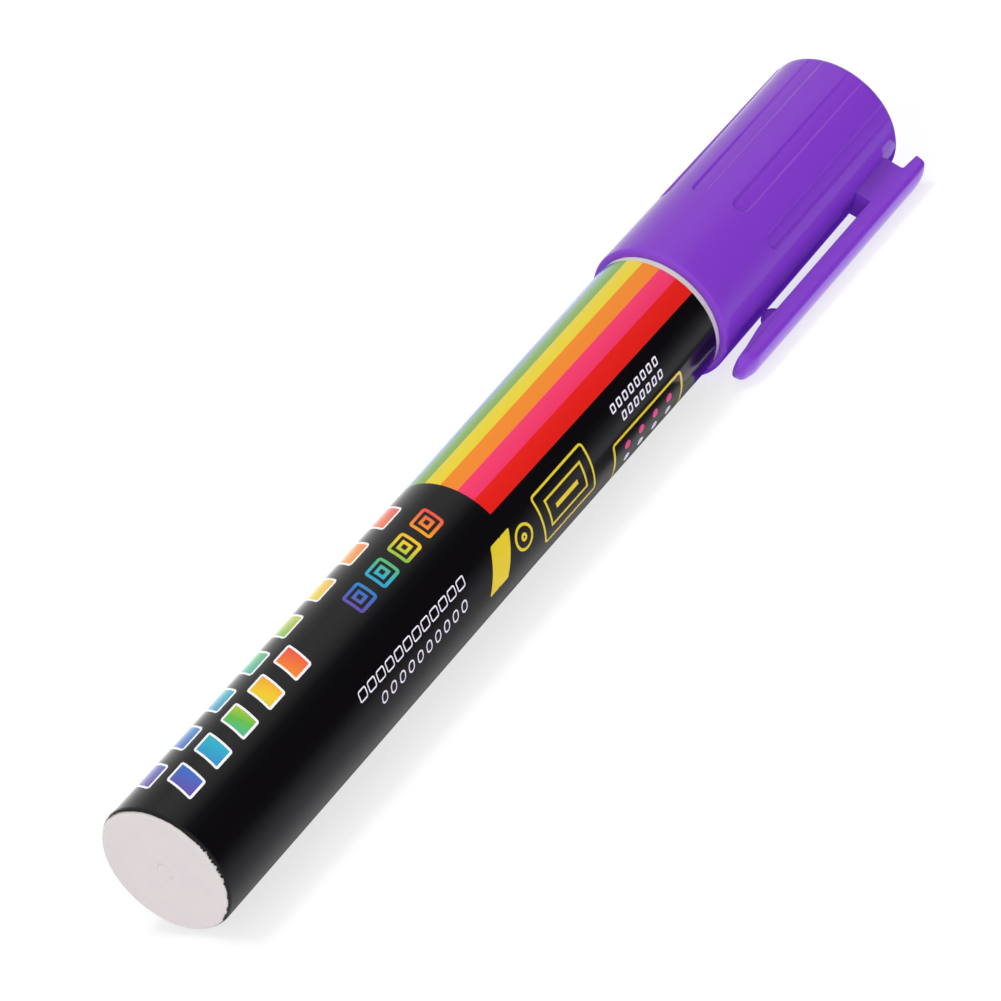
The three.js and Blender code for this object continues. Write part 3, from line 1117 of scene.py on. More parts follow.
@dataclass
class Barrel:
    """The closed barrel, its printed film and its rear disc with the moulding's gate mark."""

    bench: Bench
    length: float = 98.2
    rear_radius: float = 8.05
    waist_radius: float = 7.88
    waist_station: float = 62.0
    mouth_radius: float = 7.98
    wall: float = 1.2
    floor: float = 1.6
    rear_corner: float = 0.6
    floor_corner: float = 0.6
    mouth_corner: float = 0.08
    steps: int = 192
    film_gap: float = 0.03
    film_thickness: float = 0.12
    film_end: float = 98.15
    film_corner: float = 0.04
    film_steps: int = 900
    film_straight: float = 20.0
    lap_turns: tuple[float, ...] = (140.0, 133.0, 126.0, 117.0, 108.0, 99.0, 90.0)
    tight_from: float = 84.0
    tight_over: float = 12.0
    tight_share: float = 0.35
    gate_reach: float = 1.5
    gate_radius: float = 0.95
    gate_line: float = 0.13
    gate_depth: float = 0.2
    gate_gap_turn: float = 60.0
    gate_dot: float = 0.24
    gate_dot_turn: float = 150.0
    gate_dot_depth: float = 1.3
    gate_rows: int = 19
    gate_row_step: float = 0.08
    disc_row: float = 5.0
    laps: tuple[tuple[float, float], ...] = (
        (-180, 4), (-130, 3), (-100, 4), (-93, 22), (-86, 40), (-60, 46), (-15, 46), (5, 44),
        (22, 52), (50, 52), (86, 46), (97, 6), (140, 4), (180, 4),
    )
    nibbles: tuple[Wave, ...] = (
        Wave(29, 9.0, 0.3),
        Wave(53, 10.0, 1.1),
        Wave(101, 13.0, 2.0),
        Wave(137, 8.0, 0.6),
    )
    ripples: tuple[Wave, ...] = (Wave(5, 1.4, 0.7), Wave(13, 1.0, 1.9), Wave(41, 0.8, 0.2))
    ragged_until: float = 150.0
    ragged_in: float = 18.0
    ragged_out: float = 30.0
    plain_share: float = 0.12
    least_lap: float = 0.5

    def radius_at(self, station: float) -> float:
        """Outer radius of the barrel, which narrows to its waist and widens to its mouth.

        Args:
            station: Station in mm.

        Returns:
            The radius in mm.
        """
        if station < self.waist_station:
            share = station / self.waist_station
            return self.rear_radius + (self.waist_radius - self.rear_radius) * share
        share = (station - self.waist_station) / (self.length - self.waist_station)
        return self.waist_radius + (self.mouth_radius - self.waist_radius) * share

    def tube(self) -> bpy.types.Object:
        """Turn the barrel with close rings where the gate was cut off, and its bore.

        Returns:
            The barrel.
        """
        floor_radius = self.radius_at(self.floor) - self.wall
        rings = [Corner(0, self.gate_row_step * ring) for ring in range(self.gate_rows)]
        piece = self.bench.turned(
            "barrel_moulding",
            [
                *rings,
                Corner(0, self.disc_row),
                Corner(0, self.rear_radius, self.rear_corner),
                Corner(self.waist_station, self.waist_radius),
                Corner(self.length, self.mouth_radius, self.mouth_corner),
                Corner(self.length, self.mouth_radius - self.wall, self.mouth_corner),
                Corner(self.waist_station, self.waist_radius - self.wall),
                Corner(self.floor, floor_radius, self.floor_corner),
                Corner(self.floor, 0),
            ],
            self.steps,
        )
        self.cut_gate(piece)
        return piece

    def cut_gate(self, piece: bpy.types.Object) -> None:
        """Press the faint open ring of the cut gate into the rear disc, with a dot beside it.

        Args:
            piece: The barrel.
        """
        bench = self.bench
        mesh = bench.edit(piece)
        for vert in mesh.verts:
            station, radius, turn = bench.line.read(vert.co)
            if station > bench.near or radius > self.gate_reach:
                continue
            away = turn - self.gate_dot_turn
            closed = 0.5 - 0.5 * math.cos(math.radians(away - self.gate_gap_turn))
            ring = math.exp(-(((radius - self.gate_radius) / self.gate_line) ** 2)) * closed
            across = math.radians(wrap(away)) * radius
            off = math.hypot(across, radius - self.gate_radius)
            dot = math.exp(-((off / self.gate_dot) ** 2)) * self.gate_dot_depth
            vert.co.x += self.gate_depth * MM * min(1.0, max(ring, dot))
        bmesh.update_edit_mesh(piece.data)
        bench.clear()

    def lapped(self, out: float, turns: Sequence[float]) -> list[Corner]:
        """The film's profile where it laps over the barrel's rear corner.

        Args:
            out: How far out from the barrel it lies, in mm.
            turns: Degrees round the corner, from the pen's front.

        Returns:
            A point for each turn.
        """
        reach = self.rear_corner + out
        return [
            Corner(
                self.rear_corner + reach * math.cos(math.radians(turn)),
                self.rear_radius - self.rear_corner + reach * math.sin(math.radians(turn)),
            )
            for turn in turns
        ]

    def film(self) -> bpy.types.Object:
        """Turn the film and tear its rear edge, which laps over the barrel's corner.

        Returns:
            The film.
        """
        inner, outer = self.film_gap, self.film_gap + self.film_thickness
        mouth = self.radius_at(self.film_end)
        piece = self.bench.turned(
            "printed_film_sleeve",
            [
                *self.lapped(outer, self.lap_turns),
                Corner(self.film_straight, self.radius_at(self.film_straight) + outer),
                Corner(self.waist_station, self.waist_radius + outer),
                Corner(self.film_end, mouth + outer, self.film_corner),
                Corner(self.film_end, mouth + inner),
                Corner(self.waist_station, self.waist_radius + inner),
                *self.lapped(inner, self.lap_turns[::-1]),
            ],
            self.film_steps,
        )
        self.tear(piece)
        return piece

    def tear(self, piece: bpy.types.Object) -> None:
        """Draw the film's cut edge in and out along the barrel's rounded corner.

        Args:
            piece: The film.
        """
        bench = self.bench
        corner = self.rear_corner
        centre = self.rear_radius - corner
        drawn_lap = self.lap_turns[0] - self.lap_turns[-1]
        mesh = bench.edit(piece)
        for vert in mesh.verts:
            station, radius, turn = bench.line.read(vert.co)
            along, out = station - corner, radius - centre
            if along > bench.near:
                continue
            bend = math.degrees(math.atan2(out, along)) - 90.0
            bend = math.radians(90.0 + bend * self.lap_at(turn) / drawn_lap)
            reach = corner + (math.hypot(along, out) - corner) * self.proud_at(turn)
            vert.co = bench.line.at(
                corner + reach * math.cos(bend), centre + reach * math.sin(bend), turn
            )
        bmesh.update_edit_mesh(piece.data)
        bench.clear()

    def proud_at(self, turn: float) -> float:
        """How proud of the corner the film's edge stands: it lies tight on the far side.

        Args:
            turn: Degrees from straight up towards -Y.

        Returns:
            The share of its full height.
        """
        faced = abs(wrap(turn - FACING))
        return 1.0 - (1.0 - self.tight_share) * ease((faced - self.tight_from) / self.tight_over)

    def lap_at(self, turn: float) -> float:
        """How far the film laps over the corner, in degrees of the corner.

        Args:
            turn: Degrees from straight up towards -Y.

        Returns:
            The lap, with the small nibbles of the cut in it.
        """
        faced = wrap(turn - FACING)
        lap = self.laps[-1][1]
        for (here, low), (there, high) in pairwise(self.laps):
            if here <= faced <= there:
                lap = low + (high - low) * (faced - here) / (there - here)
        ragged = hold(faced / self.ragged_in) * hold((self.ragged_until - faced) / self.ragged_out)
        lean = math.radians(faced)
        nibble = sum(
            wave.height * max(0.0, math.sin(wave.count * lean + wave.phase)) ** 2
            for wave in self.nibbles
        )
        ripple = sum(
            wave.height * math.sin(wave.count * lean + wave.phase) for wave in self.ripples
        )
        share = self.plain_share + (1.0 - self.plain_share) * ragged
        return max(self.least_lap, lap + ripple - nibble * share)

    def build(self, white: bpy.types.Material, film: bpy.types.Material) -> None:
        """Make and dress the barrel and its film.

        Args:
            white: The barrel's finish.
            film: The film's finish.
        """
        self.bench.dress(self.tube(), white, Slot.WHITE, Body.PEN, "barrel")
        self.bench.dress(self.film(), film, Slot.FILM, Body.PEN, "printed_sleeve")


@dataclass
class Nozzle:
    """The white moulding in the barrel's mouth, with the neck that the cap grips."""

    bench: Bench
    seam: float = 98.22
    flange_front: float = 99.02
    flange_radius: float = 8.02
    neck_radius: float = 7.0
    neck_front: float = 106.22
    bead_station: float = 103.22
    bead_height: float = 0.12
    shoulder_front: float = 109.42
    tube_root: float = 4.9
    tube_tip: float = 4.1
    front: float = 119.82
    bore: float = 2.91
    bore_lead: float = 0.3
    bore_lead_length: float = 0.4
    bore_rear: float = 111.32
    channel: float = 4.0
    channel_front: float = 110.72
    bay: float = 5.35
    bay_front: float = 100.32
    plug_rear: float = 84.2
    plug_lead: float = 6.34
    plug_lead_front: float = 84.8
    plug_lead_top: float = 6.64
    plug_radius: float = 6.675
    bead_half: float = 0.45
    steps: int = 160
    rib_count: int = 6
    rib_width: float = 0.45
    rib_low: float = 2.57
    rib_high: float = 3.1
    rib_rear: float = 111.75
    rib_front: float = 118.75
    rib_corner: float = 0.08

    def moulding(self) -> bpy.types.Object:
        """Turn the nozzle with its valve bay, and rib its bore, which holds the nib clear.

        Returns:
            The nozzle.
        """
        bead, proud = self.bead_station, self.neck_radius + self.bead_height
        body = self.bench.turned(
            "nozzle_moulding",
            [
                Corner(self.plug_rear, self.plug_lead, 0.1),
                Corner(self.plug_lead_front, self.plug_lead_top, 0.2),
                Corner(self.seam, self.plug_radius),
                Corner(self.seam, self.flange_radius, 0.06),
                Corner(self.flange_front, self.flange_radius, 0.1),
                Corner(self.flange_front, self.neck_radius, 0.15),
                Corner(bead - self.bead_half, self.neck_radius),
                Corner(bead, proud, 0.16),
                Corner(bead + self.bead_half, self.neck_radius),
                Corner(self.neck_front, self.neck_radius, 0.5),
                Corner(self.shoulder_front, self.tube_root, 0.4),
                Corner(self.front, self.tube_tip, 0.5),
                Corner(self.front, self.bore + self.bore_lead, 0.12),
                Corner(self.front - self.bore_lead_length, self.bore, 0.1),
                Corner(self.bore_rear, self.bore),
                Corner(self.channel_front, self.channel),
                Corner(self.bay_front, self.channel),
                Corner(self.bay_front, self.bay),
                Corner(self.plug_rear, self.bay, 0.1),
            ],
            self.steps,
        )
        rib = self.bench.bar(
            "nozzle_rib",
            self.rib_rear,
            self.rib_front,
            self.rib_low,
            self.rib_high,
            self.rib_width,
        )
        return self.bench.join([body, *self.bench.ribs(rib, self.rib_count, self.rib_corner, 2)])

    def build(self, white: bpy.types.Material) -> None:
        """Make and dress the nozzle.

        Args:
            white: Its finish.
        """
        self.bench.dress(self.moulding(), white, Slot.WHITE, Body.PEN, "nozzle")


@dataclass
class Nib:
    """The round-pointed fibre nib that slides back to open the valve."""

    bench: Bench
    rear: float = 107.82
    tip: float = 125.82
    radius: float = 2.5
    tail_radius: float = 1.9
    tail_front: float = 109.02
    body_rear: float = 109.52
    edge: float = 0.15
    point: tuple[Corner, ...] = (
        Corner(123.22, 2.5, 0.5),
        Corner(124.92, 1.5, 0.55),
        Corner(125.7, 0.55, 0.25),
    )
    steps: int = 96
    smooth_angle: float = 50.0

    def build(self, fibre: bpy.types.Material) -> None:
        """Make and dress the nib.

        Args:
            fibre: Its finish.
        """
        piece = self.bench.turned(
            "fibre_nib",
            [
                Corner(self.rear, 0),
                Corner(self.rear, self.tail_radius, self.edge),
                Corner(self.tail_front, self.tail_radius),
                Corner(self.body_rear, self.radius, self.edge),
                *self.point,
                Corner(self.tip, 0),
            ],
            self.steps,
            self.smooth_angle,
        )
        self.bench.dress(piece, fibre, Slot.FIBRE, Body.NIB, "nib")


@dataclass
class Valve:
    """The valve behind the nib: its seat, stem, spring and cage, and the ball in the ink."""

    bench: Bench
    seat: tuple[Corner, ...] = (
        Corner(100.3, 1.6, 0.1),
        Corner(99.5, 1.6),
        Corner(98.3, 2.7),
        Corner(98.3, 4.5),
        Corner(94.3, 4.5, 0.1),
        Corner(94.3, 5.1, 0.1),
        Corner(94.7, 5.3),
        Corner(100.3, 5.3, 0.1),
    )
    stem: tuple[Corner, ...] = (
        Corner(85.5, 0),
        Corner(85.5, 0.95, 0.2),
        Corner(96.88, 0.95),
        Corner(96.88, 2.9, 0.15),
        Corner(98.18, 2.9, 0.1),
        Corner(98.18, 2.58),
        Corner(99.38, 1.35),
        Corner(99.68, 1.1),
        Corner(107.52, 1.1, 0.25),
        Corner(107.52, 0),
    )
    seat_steps: int = 128
    stem_steps: int = 96
    cage_rear: float = 85.9
    cage_front: float = 96.9
    cage_radius: float = 4.45
    cage_bore: float = 3.35
    cage_hole: float = 1.07
    cage_floor: float = 1.2
    cage_bevel: float = 0.3
    cage_edge: float = 0.1
    hole_edge: float = 0.08
    window_count: int = 4
    window_turn: float = 45.0
    window_rear: float = 1.8
    window_front: float = 6.4
    window_low: float = 2.25
    window_high: float = 5.55
    window_width: float = 2.0
    window_corner: float = 0.35
    spring_rear: float = 87.4
    spring_front: float = 96.58
    spring_radius: float = 2.0
    wire: float = 0.25
    wire_sides: int = 16
    curls: int = 6
    curl_steps: int = 40
    wire_angle: float = 40.0
    ball_radius: float = 2.4
    ball_cuts: int = 15
    ball_angle: float = 60.0

    def cage(self) -> bpy.types.Object:
        """Turn the spring's cage and cut its windows.

        Returns:
            The cage.
        """
        bench = self.bench
        rear, front, edge = self.cage_rear, self.cage_front, self.cage_edge
        cage = bench.turned(
            "spring_cage_cup",
            [
                Corner(rear, self.cage_hole, self.hole_edge),
                Corner(rear, self.cage_radius - self.cage_bevel),
                Corner(rear + self.cage_bevel, self.cage_radius, edge),
                Corner(front, self.cage_radius, edge),
                Corner(front, self.cage_bore, edge),
                Corner(rear + self.cage_floor, self.cage_bore),
                Corner(rear + self.cage_floor, self.cage_hole),
            ],
            self.seat_steps,
        )
        window = bench.bar(
            "cage_window",
            rear + self.window_rear,
            rear + self.window_front,
            self.window_low,
            self.window_high,
            self.window_width,
        )
        bench.pick(window, lambda edge: abs(edge.verts[0].co.z - edge.verts[1].co.z) > MM)
        bpy.ops.mesh.bevel(
            offset=self.window_corner * MM, segments=4, profile=0.5, affect="EDGES"
        )
        windows = bench.join(bench.copies_round(window, self.window_count, self.window_turn))
        bench.apply(cage, "BOOLEAN", object=windows, operation="DIFFERENCE", solver="EXACT")
        bpy.data.objects.remove(windows)
        return bench.smooth(cage)

    def spring(self) -> bpy.types.Object:
        """Wind the spring from one ring of wire, and close its ends.

        Returns:
            The spring.
        """
        bench = self.bench
        bench.clear()
        bpy.ops.mesh.primitive_circle_add(
            vertices=self.wire_sides,
            radius=self.wire * MM,
            location=bench.line.at(self.spring_rear, self.spring_radius),
            rotation=(math.pi / 2, 0, 0),
        )
        spring = bench.name("valve_spring_wire")
        bench.take(spring)
        bpy.context.scene.cursor.location = bench.line.at(self.spring_rear)
        bpy.ops.object.origin_set(type="ORIGIN_CURSOR")
        pitch = (self.spring_front - self.spring_rear) / self.curls
        bench.apply(
            spring,
            "SCREW",
            axis="X",
            angle=-2 * math.pi,
            screw_offset=pitch * MM,
            iterations=self.curls,
            steps=self.curl_steps,
            render_steps=self.curl_steps,
            use_merge_vertices=False,
        )
        bench.take(spring)
        bpy.ops.object.transform_apply(location=True, rotation=True, scale=True)
        bench.edit(spring, "EDGE")
        bpy.ops.mesh.select_non_manifold()
        bpy.ops.mesh.edge_face_add()
        bpy.ops.mesh.select_all(action="SELECT")
        bpy.ops.mesh.normals_make_consistent(inside=False)
        bpy.context.scene.cursor.location = (0, 0, 0)
        return bench.smooth(spring, self.wire_angle)

    def ball(self) -> bpy.types.Object:
        """Round a cube into the mixing ball, which lies on the barrel's lowest line.

        Returns:
            The ball.
        """
        bench = self.bench
        low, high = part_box("mixing_ball")
        middle = (low + high) / 2
        bench.clear()
        bpy.ops.mesh.primitive_cube_add(size=2 * self.ball_radius * MM, location=middle)
        ball = bench.name("mixing_ball_steel")
        bench.edit(ball)
        bpy.ops.mesh.select_all(action="SELECT")
        bpy.ops.mesh.subdivide(number_cuts=self.ball_cuts)
        for vert in bmesh.from_edit_mesh(ball.data).verts:
            vert.co = middle + (vert.co - middle).normalized() * self.ball_radius * MM
        bmesh.update_edit_mesh(ball.data)
        return bench.smooth(ball, self.ball_angle)

    def build(
        self,
        natural: bpy.types.Material,
        spring: bpy.types.Material,
        ball: bpy.types.Material,
    ) -> None:
        """Make and dress the valve and the ball.

        Args:
            natural: Finish of the seat, the cage and the stem.
            spring: The spring's finish.
            ball: The ball's finish.
        """
        dress = self.bench.dress
        seat = self.bench.turned("valve_seat_ring", self.seat, self.seat_steps)
        dress(seat, natural, Slot.NATURAL, Body.PEN, "valve_seat")
        dress(self.cage(), natural, Slot.NATURAL, Body.PEN, "spring_cage")
        stem = self.bench.turned("valve_stem_pin", self.stem, self.stem_steps)
        dress(stem, natural, Slot.NATURAL, Body.STEM, "valve_stem")
        wound = dress(self.spring(), spring, Slot.SPRING, None, "valve_spring")
        self.bench.line.at(self.spring_rear)
        self.bench.line.at(self.spring_front)
        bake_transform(wound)
        dress(self.ball(), ball, Slot.BALL, Body.BALL, "mixing_ball")


@dataclass
class Cap:
    """The purple cap with its long round-ended pockets, its inner ribs and its white liner."""

    bench: Bench
    rear: float = 99.07
    front: float = 138.02
    lip_radius: float = 8.85
    end_radius: float = 8.55
    lip_rounding: float = 0.42
    end_rounding: float = 0.75
    bore: float = 7.28
    bore_straight: float = 106.22
    bore_taper: float = 0.25
    inner_end: float = 136.42
    inner_corner: float = 0.8
    snap_station: float = 102.07
    snap_half: float = 0.45
    snap_height: float = 0.1
    end_rows: tuple[float, ...] = (1.6, 5.55)
    rows_behind: tuple[float, ...] = (100.2, 103.0, 106.0, 109.0, 110.4)
    rows_ahead: tuple[float, ...] = (113.5, 118.0, 123.0, 128.0, 132.0, 135.0, 136.4)
    close_rows: int = 24
    close_step: float = 0.065
    pocket_count: int = 10
    pocket_width: float = 2.2
    pocket_floor: float = 8.465
    pocket_end: float = 110.82
    pocket_lean: float = -9.0
    pocket_softness: float = 0.32
    rib_count: int = 6
    rib_width: float = 0.9
    rib_rear: float = 112.42
    rib_front: float = 136.82
    rib_low: float = 5.87
    rib_high: float = 7.58
    rib_corner: float = 0.12
    steps: int = 960
    smooth_angle: float = 40.0
    liner: tuple[Corner, ...] = (
        Corner(130.8, 0),
        Corner(130.8, 5.02, 0.5),
        Corner(110.72, 5.02),
        Corner(109.72, 5.32, 0.08),
        Corner(109.72, 5.82, 0.12),
        Corner(136.4, 5.82, 0.1),
        Corner(136.4, 5.02, 0.1),
        Corner(132.2, 5.02, 0.3),
        Corner(132.2, 0),
    )
    liner_steps: int = 128

    def radius_at(self, station: float) -> float:
        """Outer radius of the cap, which narrows to its end.

        Args:
            station: Station in mm.

        Returns:
            The radius in mm.
        """
        share = (station - self.rear) / (self.front - self.rear)
        return self.lip_radius + (self.end_radius - self.lip_radius) * share

    def shell(self) -> bpy.types.Object:
        """Turn the cap with close rows where its pockets begin, sink them and rib its bore.

        Returns:
            The cap.
        """
        begin = [self.pocket_end + self.close_step * row for row in range(-1, self.close_rows)]
        rows = [*self.rows_behind, *begin, *self.rows_ahead]
        snap, half = self.snap_station, self.snap_half
        piece = self.bench.turned(
            "cap_moulding",
            [
                Corner(self.inner_end, 0),
                Corner(self.inner_end, self.bore - self.bore_taper, self.inner_corner),
                Corner(self.bore_straight, self.bore),
                Corner(snap + half, self.bore),
                Corner(snap, self.bore - self.snap_height, 0.16),
                Corner(snap - half, self.bore),
                Corner(self.rear, self.bore, 0.25),
                Corner(self.rear, self.lip_radius, self.lip_rounding),
                *(Corner(row, self.radius_at(row)) for row in rows),
                Corner(self.front, self.end_radius, self.end_rounding),
                *(Corner(self.front, self.end_radius - inset) for inset in self.end_rows),
                Corner(self.front, 0),
            ],
            self.steps,
            self.smooth_angle,
        )
        self.sink_pockets(piece)
        rib = self.bench.bar(
            "cap_rib", self.rib_rear, self.rib_front, self.rib_low, self.rib_high, self.rib_width
        )
        return self.bench.join([piece, *self.bench.ribs(rib, self.rib_count, self.rib_corner, 3)])

    def pocket_share(self, station: float, radius: float, turn: float) -> float:
        """Say how far a point of the outer wall lies in a pocket.

        The wall is plain beside the clip, where one pocket of the round is left out.

        Args:
            station: Its station, in mm.
            radius: Its distance from the axis, in mm.
            turn: Degrees from straight up towards -Y.

        Returns:
            0 outside, 1 on the floor, and between them on the soft edge.
        """
        step = 360.0 / self.pocket_count
        if abs(wrap(turn - CLIP_TURN) - self.pocket_lean) < step / 2:
            return 0.0
        off = (turn - CLIP_TURN - self.pocket_lean + step / 2) % step - step / 2
        half = self.pocket_width / 2
        behind = min(0.0, station - self.pocket_end - half)
        inside = half - math.hypot(math.radians(off) * radius, behind)
        return ease(inside / self.pocket_softness)

    def sink_pockets(self, piece: bpy.types.Object) -> None:
        """Sink the pockets to their floor, level with the axis, so that they fade at the end.

        Args:
            piece: The cap.
        """
        bench = self.bench
        sunk = 0
        mesh = bench.edit(piece)
        for vert in mesh.verts:
            station, radius, turn = bench.line.read(vert.co)
            if station < self.pocket_end or radius < self.pocket_floor:
                continue
            share = self.pocket_share(station, radius, turn)
            if share:
                drop = (radius - self.pocket_floor) * share
                vert.co = bench.line.at(station, radius - drop, turn)
                sunk += 1
        bmesh.update_edit_mesh(piece.data)
        bench.smooth(piece, self.smooth_angle)
        LOG.info("pockets: %d points sunk to %.2f mm", sunk, self.pocket_floor)

    def build(self, purple: bpy.types.Material, natural: bpy.types.Material) -> None:
        """Make and dress the cap and the liner that seals on the nozzle's tube.

        Args:
            purple: The cap's finish.
            natural: The liner's finish.
        """
        bench = self.bench
        bench.dress(self.shell(), purple, Slot.PURPLE, Body.CAP, "cap_shell")
        liner = bench.turned("sealing_liner", self.liner, self.liner_steps)
        bench.dress(liner, natural, Slot.NATURAL, Body.CAP, "inner_cap")


@dataclass
class PocketClip:
    """The clip moulded on the cap: a crowned blade on a short bridge, with a pad near its end."""

    bench: Bench
    width: float = 3.85
    outer: float = 12.42
    crown: float = 0.26
    crown_depth: float = 1.2
    heel: float = 137.72
    tip: float = 97.5
    heel_drop: float = 0.12
    heel_rise: float = 1.5
    tip_drop: float = 0.5
    tip_rise: float = 2.2
    tip_hollow: float = 0.12
    tip_flat: float = 2.4
    middle: float = 112.0
    bridge_front: float = 134.92
    bridge_rear: float = 128.12
    bridge_drop: float = 0.2
    hinge: float = 127.77
    bend_ahead: float = 1.2
    bend_step: float = 0.5
    bend_rows: int = 9
    rows_in_bridge: int = 3
    blend_ahead: float = 0.3
    blend_behind: float = 2.2
    knee_station: float = 103.92
    knee_inner: float = 10.18
    pad_station: float = 106.92
    pad_radius: float = 1.35
    pad_sides: int = 48
    pad_rings: int = 10
    pad_flare: float = 0.25
    pad_sunk: float = 0.3
    pad_tip: float = 0.02
    heel_inner: float = 10.98
    root_inner: float = 10.44
    tip_inner: float = 10.72
    pad_top: float = 9.09
    sunk: float = 7.97
    outer_edge: float = 0.42
    outer_edge_drop: float = 0.45
    inner_edge: float = 0.14
    nose_edge: float = 0.45
    nose_ease: float = 3.0
    nose: float = 2.2
    nose_reach: float = 5.5
    corner_steps: int = 6
    flat_rows: tuple[float, ...] = (0.2, 0.4, 0.6, 0.75, 0.87, 0.95, 1.0)
    edge_rows: tuple[int, ...] = (11, 22, 34, 46, 58, 69, 79, 87, 90)
    side_inset: float = 0.03
    smooth_angle: float = 40.0

    def corners(self) -> list[Corner]:
        """The blade's outline as seen from its side, with close points where it bends.

        Returns:
            The corners in order, from the heel over the outer face to the tip and back.
        """
        start = self.hinge + self.bend_ahead
        bend = [start - self.bend_step * row for row in range(self.bend_rows)]
        return [
            Corner(self.heel, self.heel_inner, 0.2),
            Corner(self.heel, self.outer - self.heel_drop, 0.62),
            Corner(self.heel - self.heel_rise, self.outer, 0.6),
            *(Corner(station, self.outer) for station in bend),
            Corner(self.middle, self.outer),
            Corner(self.tip + self.tip_rise, self.outer, 0.8),
            Corner(self.tip, self.outer - self.tip_drop, 0.7),
            Corner(self.tip, self.tip_inner, 0.45),
            Corner(self.tip + self.tip_flat, self.tip_inner - self.tip_hollow),
            Corner(self.knee_station, self.knee_inner, 0.8),
            Corner(self.pad_station, self.root_inner, 0.8),
            Corner(self.middle, self.root_inner),
            *(Corner(row, self.root_inner) for row in reversed(bend[self.rows_in_bridge :])),
            Corner(self.bridge_rear, self.root_inner, 0.3),
            Corner(self.bridge_rear, self.sunk),
            Corner(self.bridge_front, self.sunk),
            Corner(self.bridge_front, self.heel_inner - self.bridge_drop, 0.35),
        ]

    def drawn(self) -> list[Corner]:
        """Turn the outline's roundings into points.

        Returns:
            The outline as plain corners, closed by its last one.
        """
        corners = self.corners()
        points: list[Corner] = []
        for index, corner in enumerate(corners):
            if not corner.rounding:
                points.append(corner)
                continue
            here = Vector((corner.station, corner.radius))
            before, after = corners[index - 1], corners[(index + 1) % len(corners)]
            back = (Vector((before.station, before.radius)) - here).normalized()
            on = (Vector((after.station, after.radius)) - here).normalized()
            for step in range(self.corner_steps + 1):
                share = step / self.corner_steps
                place = here + back * corner.rounding * (1 - share) ** 2
                place = place + on * corner.rounding * share**2
                points.append(Corner(place.x, place.y))
        return points

    def rounding_at(self, corner: Corner) -> float:
        """How widely the blade's long edge is rounded at a point.

        Args:
            corner: A point of the outline.

        Returns:
            The rounding in mm: wide outside and at the nose, and fine inside.
        """
        toe = ease((self.knee_station - corner.station) / self.nose_ease)
        inner = self.inner_edge + (self.nose_edge - self.inner_edge) * toe
        full = self.outer - self.outer_edge_drop - self.tip_inner
        share = hold((corner.radius - self.tip_inner) / full)
        return inner + (self.outer_edge - inner) * share * share

    def grow(self, piece: bpy.types.Object, points: Sequence[Corner], side: float) -> None:
        """Draw the outline out to one side in steps that follow the roundings, and close it.

        Args:
            piece: The clip, with its outline standing over the pen's axis.
            points: The outline's points.
            side: 1 for +Y or -1 for -Y.
        """
        bench = self.bench
        half = self.width / 2
        places = [Vector((point.station, point.radius)) for point in points]
        inward: list[Vector] = []
        for index, place in enumerate(places):
            along = places[(index + 1) % len(places)] - places[index - 1]
            inward.append(Vector((-along.y, along.x)).normalized())
        reach = [self.rounding_at(point) for point in points]
        # Rows over the flat side of the blade, then round its long edge, then in to its side face
        levels = [(share, 0.0) for share in self.flat_rows]
        levels += [(1.0, math.radians(angle)) for angle in self.edge_rows]
        levels.append((2.0, 0.0))

        def in_middle(edge: bmesh.types.BMEdge) -> bool:
            """Say whether an edge lies in the pen's middle plane."""
            return all(abs(vert.co.y - bench.line.side) < bench.near * MM for vert in edge.verts)

        bench.pick(piece, in_middle)
        for flat, bend in levels:
            bpy.ops.mesh.extrude_region_move(TRANSFORM_OT_translate={"value": (0, 0, 0)})
            mesh = bmesh.from_edit_mesh(piece.data)
            index_of = mesh.verts.layers.int["outline"]
            for vert in mesh.verts:
                if not vert.select:
                    continue
                number = vert[index_of]
                round_off = reach[number]
                inset = round_off * (1 - math.cos(bend))
                across = (half - round_off) * flat + round_off * math.sin(bend)
                if flat > 1:
                    inset, across = round_off + self.side_inset, half
                place = places[number] + inward[number] * inset
                vert.co = bench.line.at(place.x, place.y) + Vector((0, side * across * MM, 0))
            bmesh.update_edit_mesh(piece.data)
        bpy.ops.mesh.edge_face_add()

    def blank(self) -> bpy.types.Object:
        """Draw the clip's outline and draw it out to both sides.

        Returns:
            The clip, standing straight up over the pen.
        """
        bench = self.bench
        points = self.drawn()
        piece = bench.outline("pocket_clip", points)
        mesh = bmesh.from_edit_mesh(piece.data)
        number = mesh.verts.layers.int.new("outline")
        for vert in mesh.verts:
            spans = [
                (bench.line.at(point.station, point.radius) - vert.co).length for point in points
            ]
            vert[number] = spans.index(min(spans))
        bmesh.update_edit_mesh(piece.data)
        for side in (1.0, -1.0):
            self.grow(piece, points, side)
        bpy.ops.mesh.select_all(action="SELECT")
        bpy.ops.mesh.normals_make_consistent(inside=False)
        bench.clear()
        piece.data.attributes.remove(piece.data.attributes["outline"])
        return piece

    def rounded_off(self, piece: bpy.types.Object) -> None:
        """Round the nose as seen from outside, by drawing its sides back along the blade.

        Args:
            piece: The clip.
        """
        bench = self.bench
        mesh = bench.edit(piece)
        for vert in mesh.verts:
            station = bench.line.read(vert.co)[0]
            side = abs(vert.co.y - bench.line.side) / MM
            back = self.nose - math.sqrt(self.nose**2 - side**2)
            vert.co.x += back * MM * ease(1 - (station - self.tip) / self.nose_reach)
        bmesh.update_edit_mesh(piece.data)

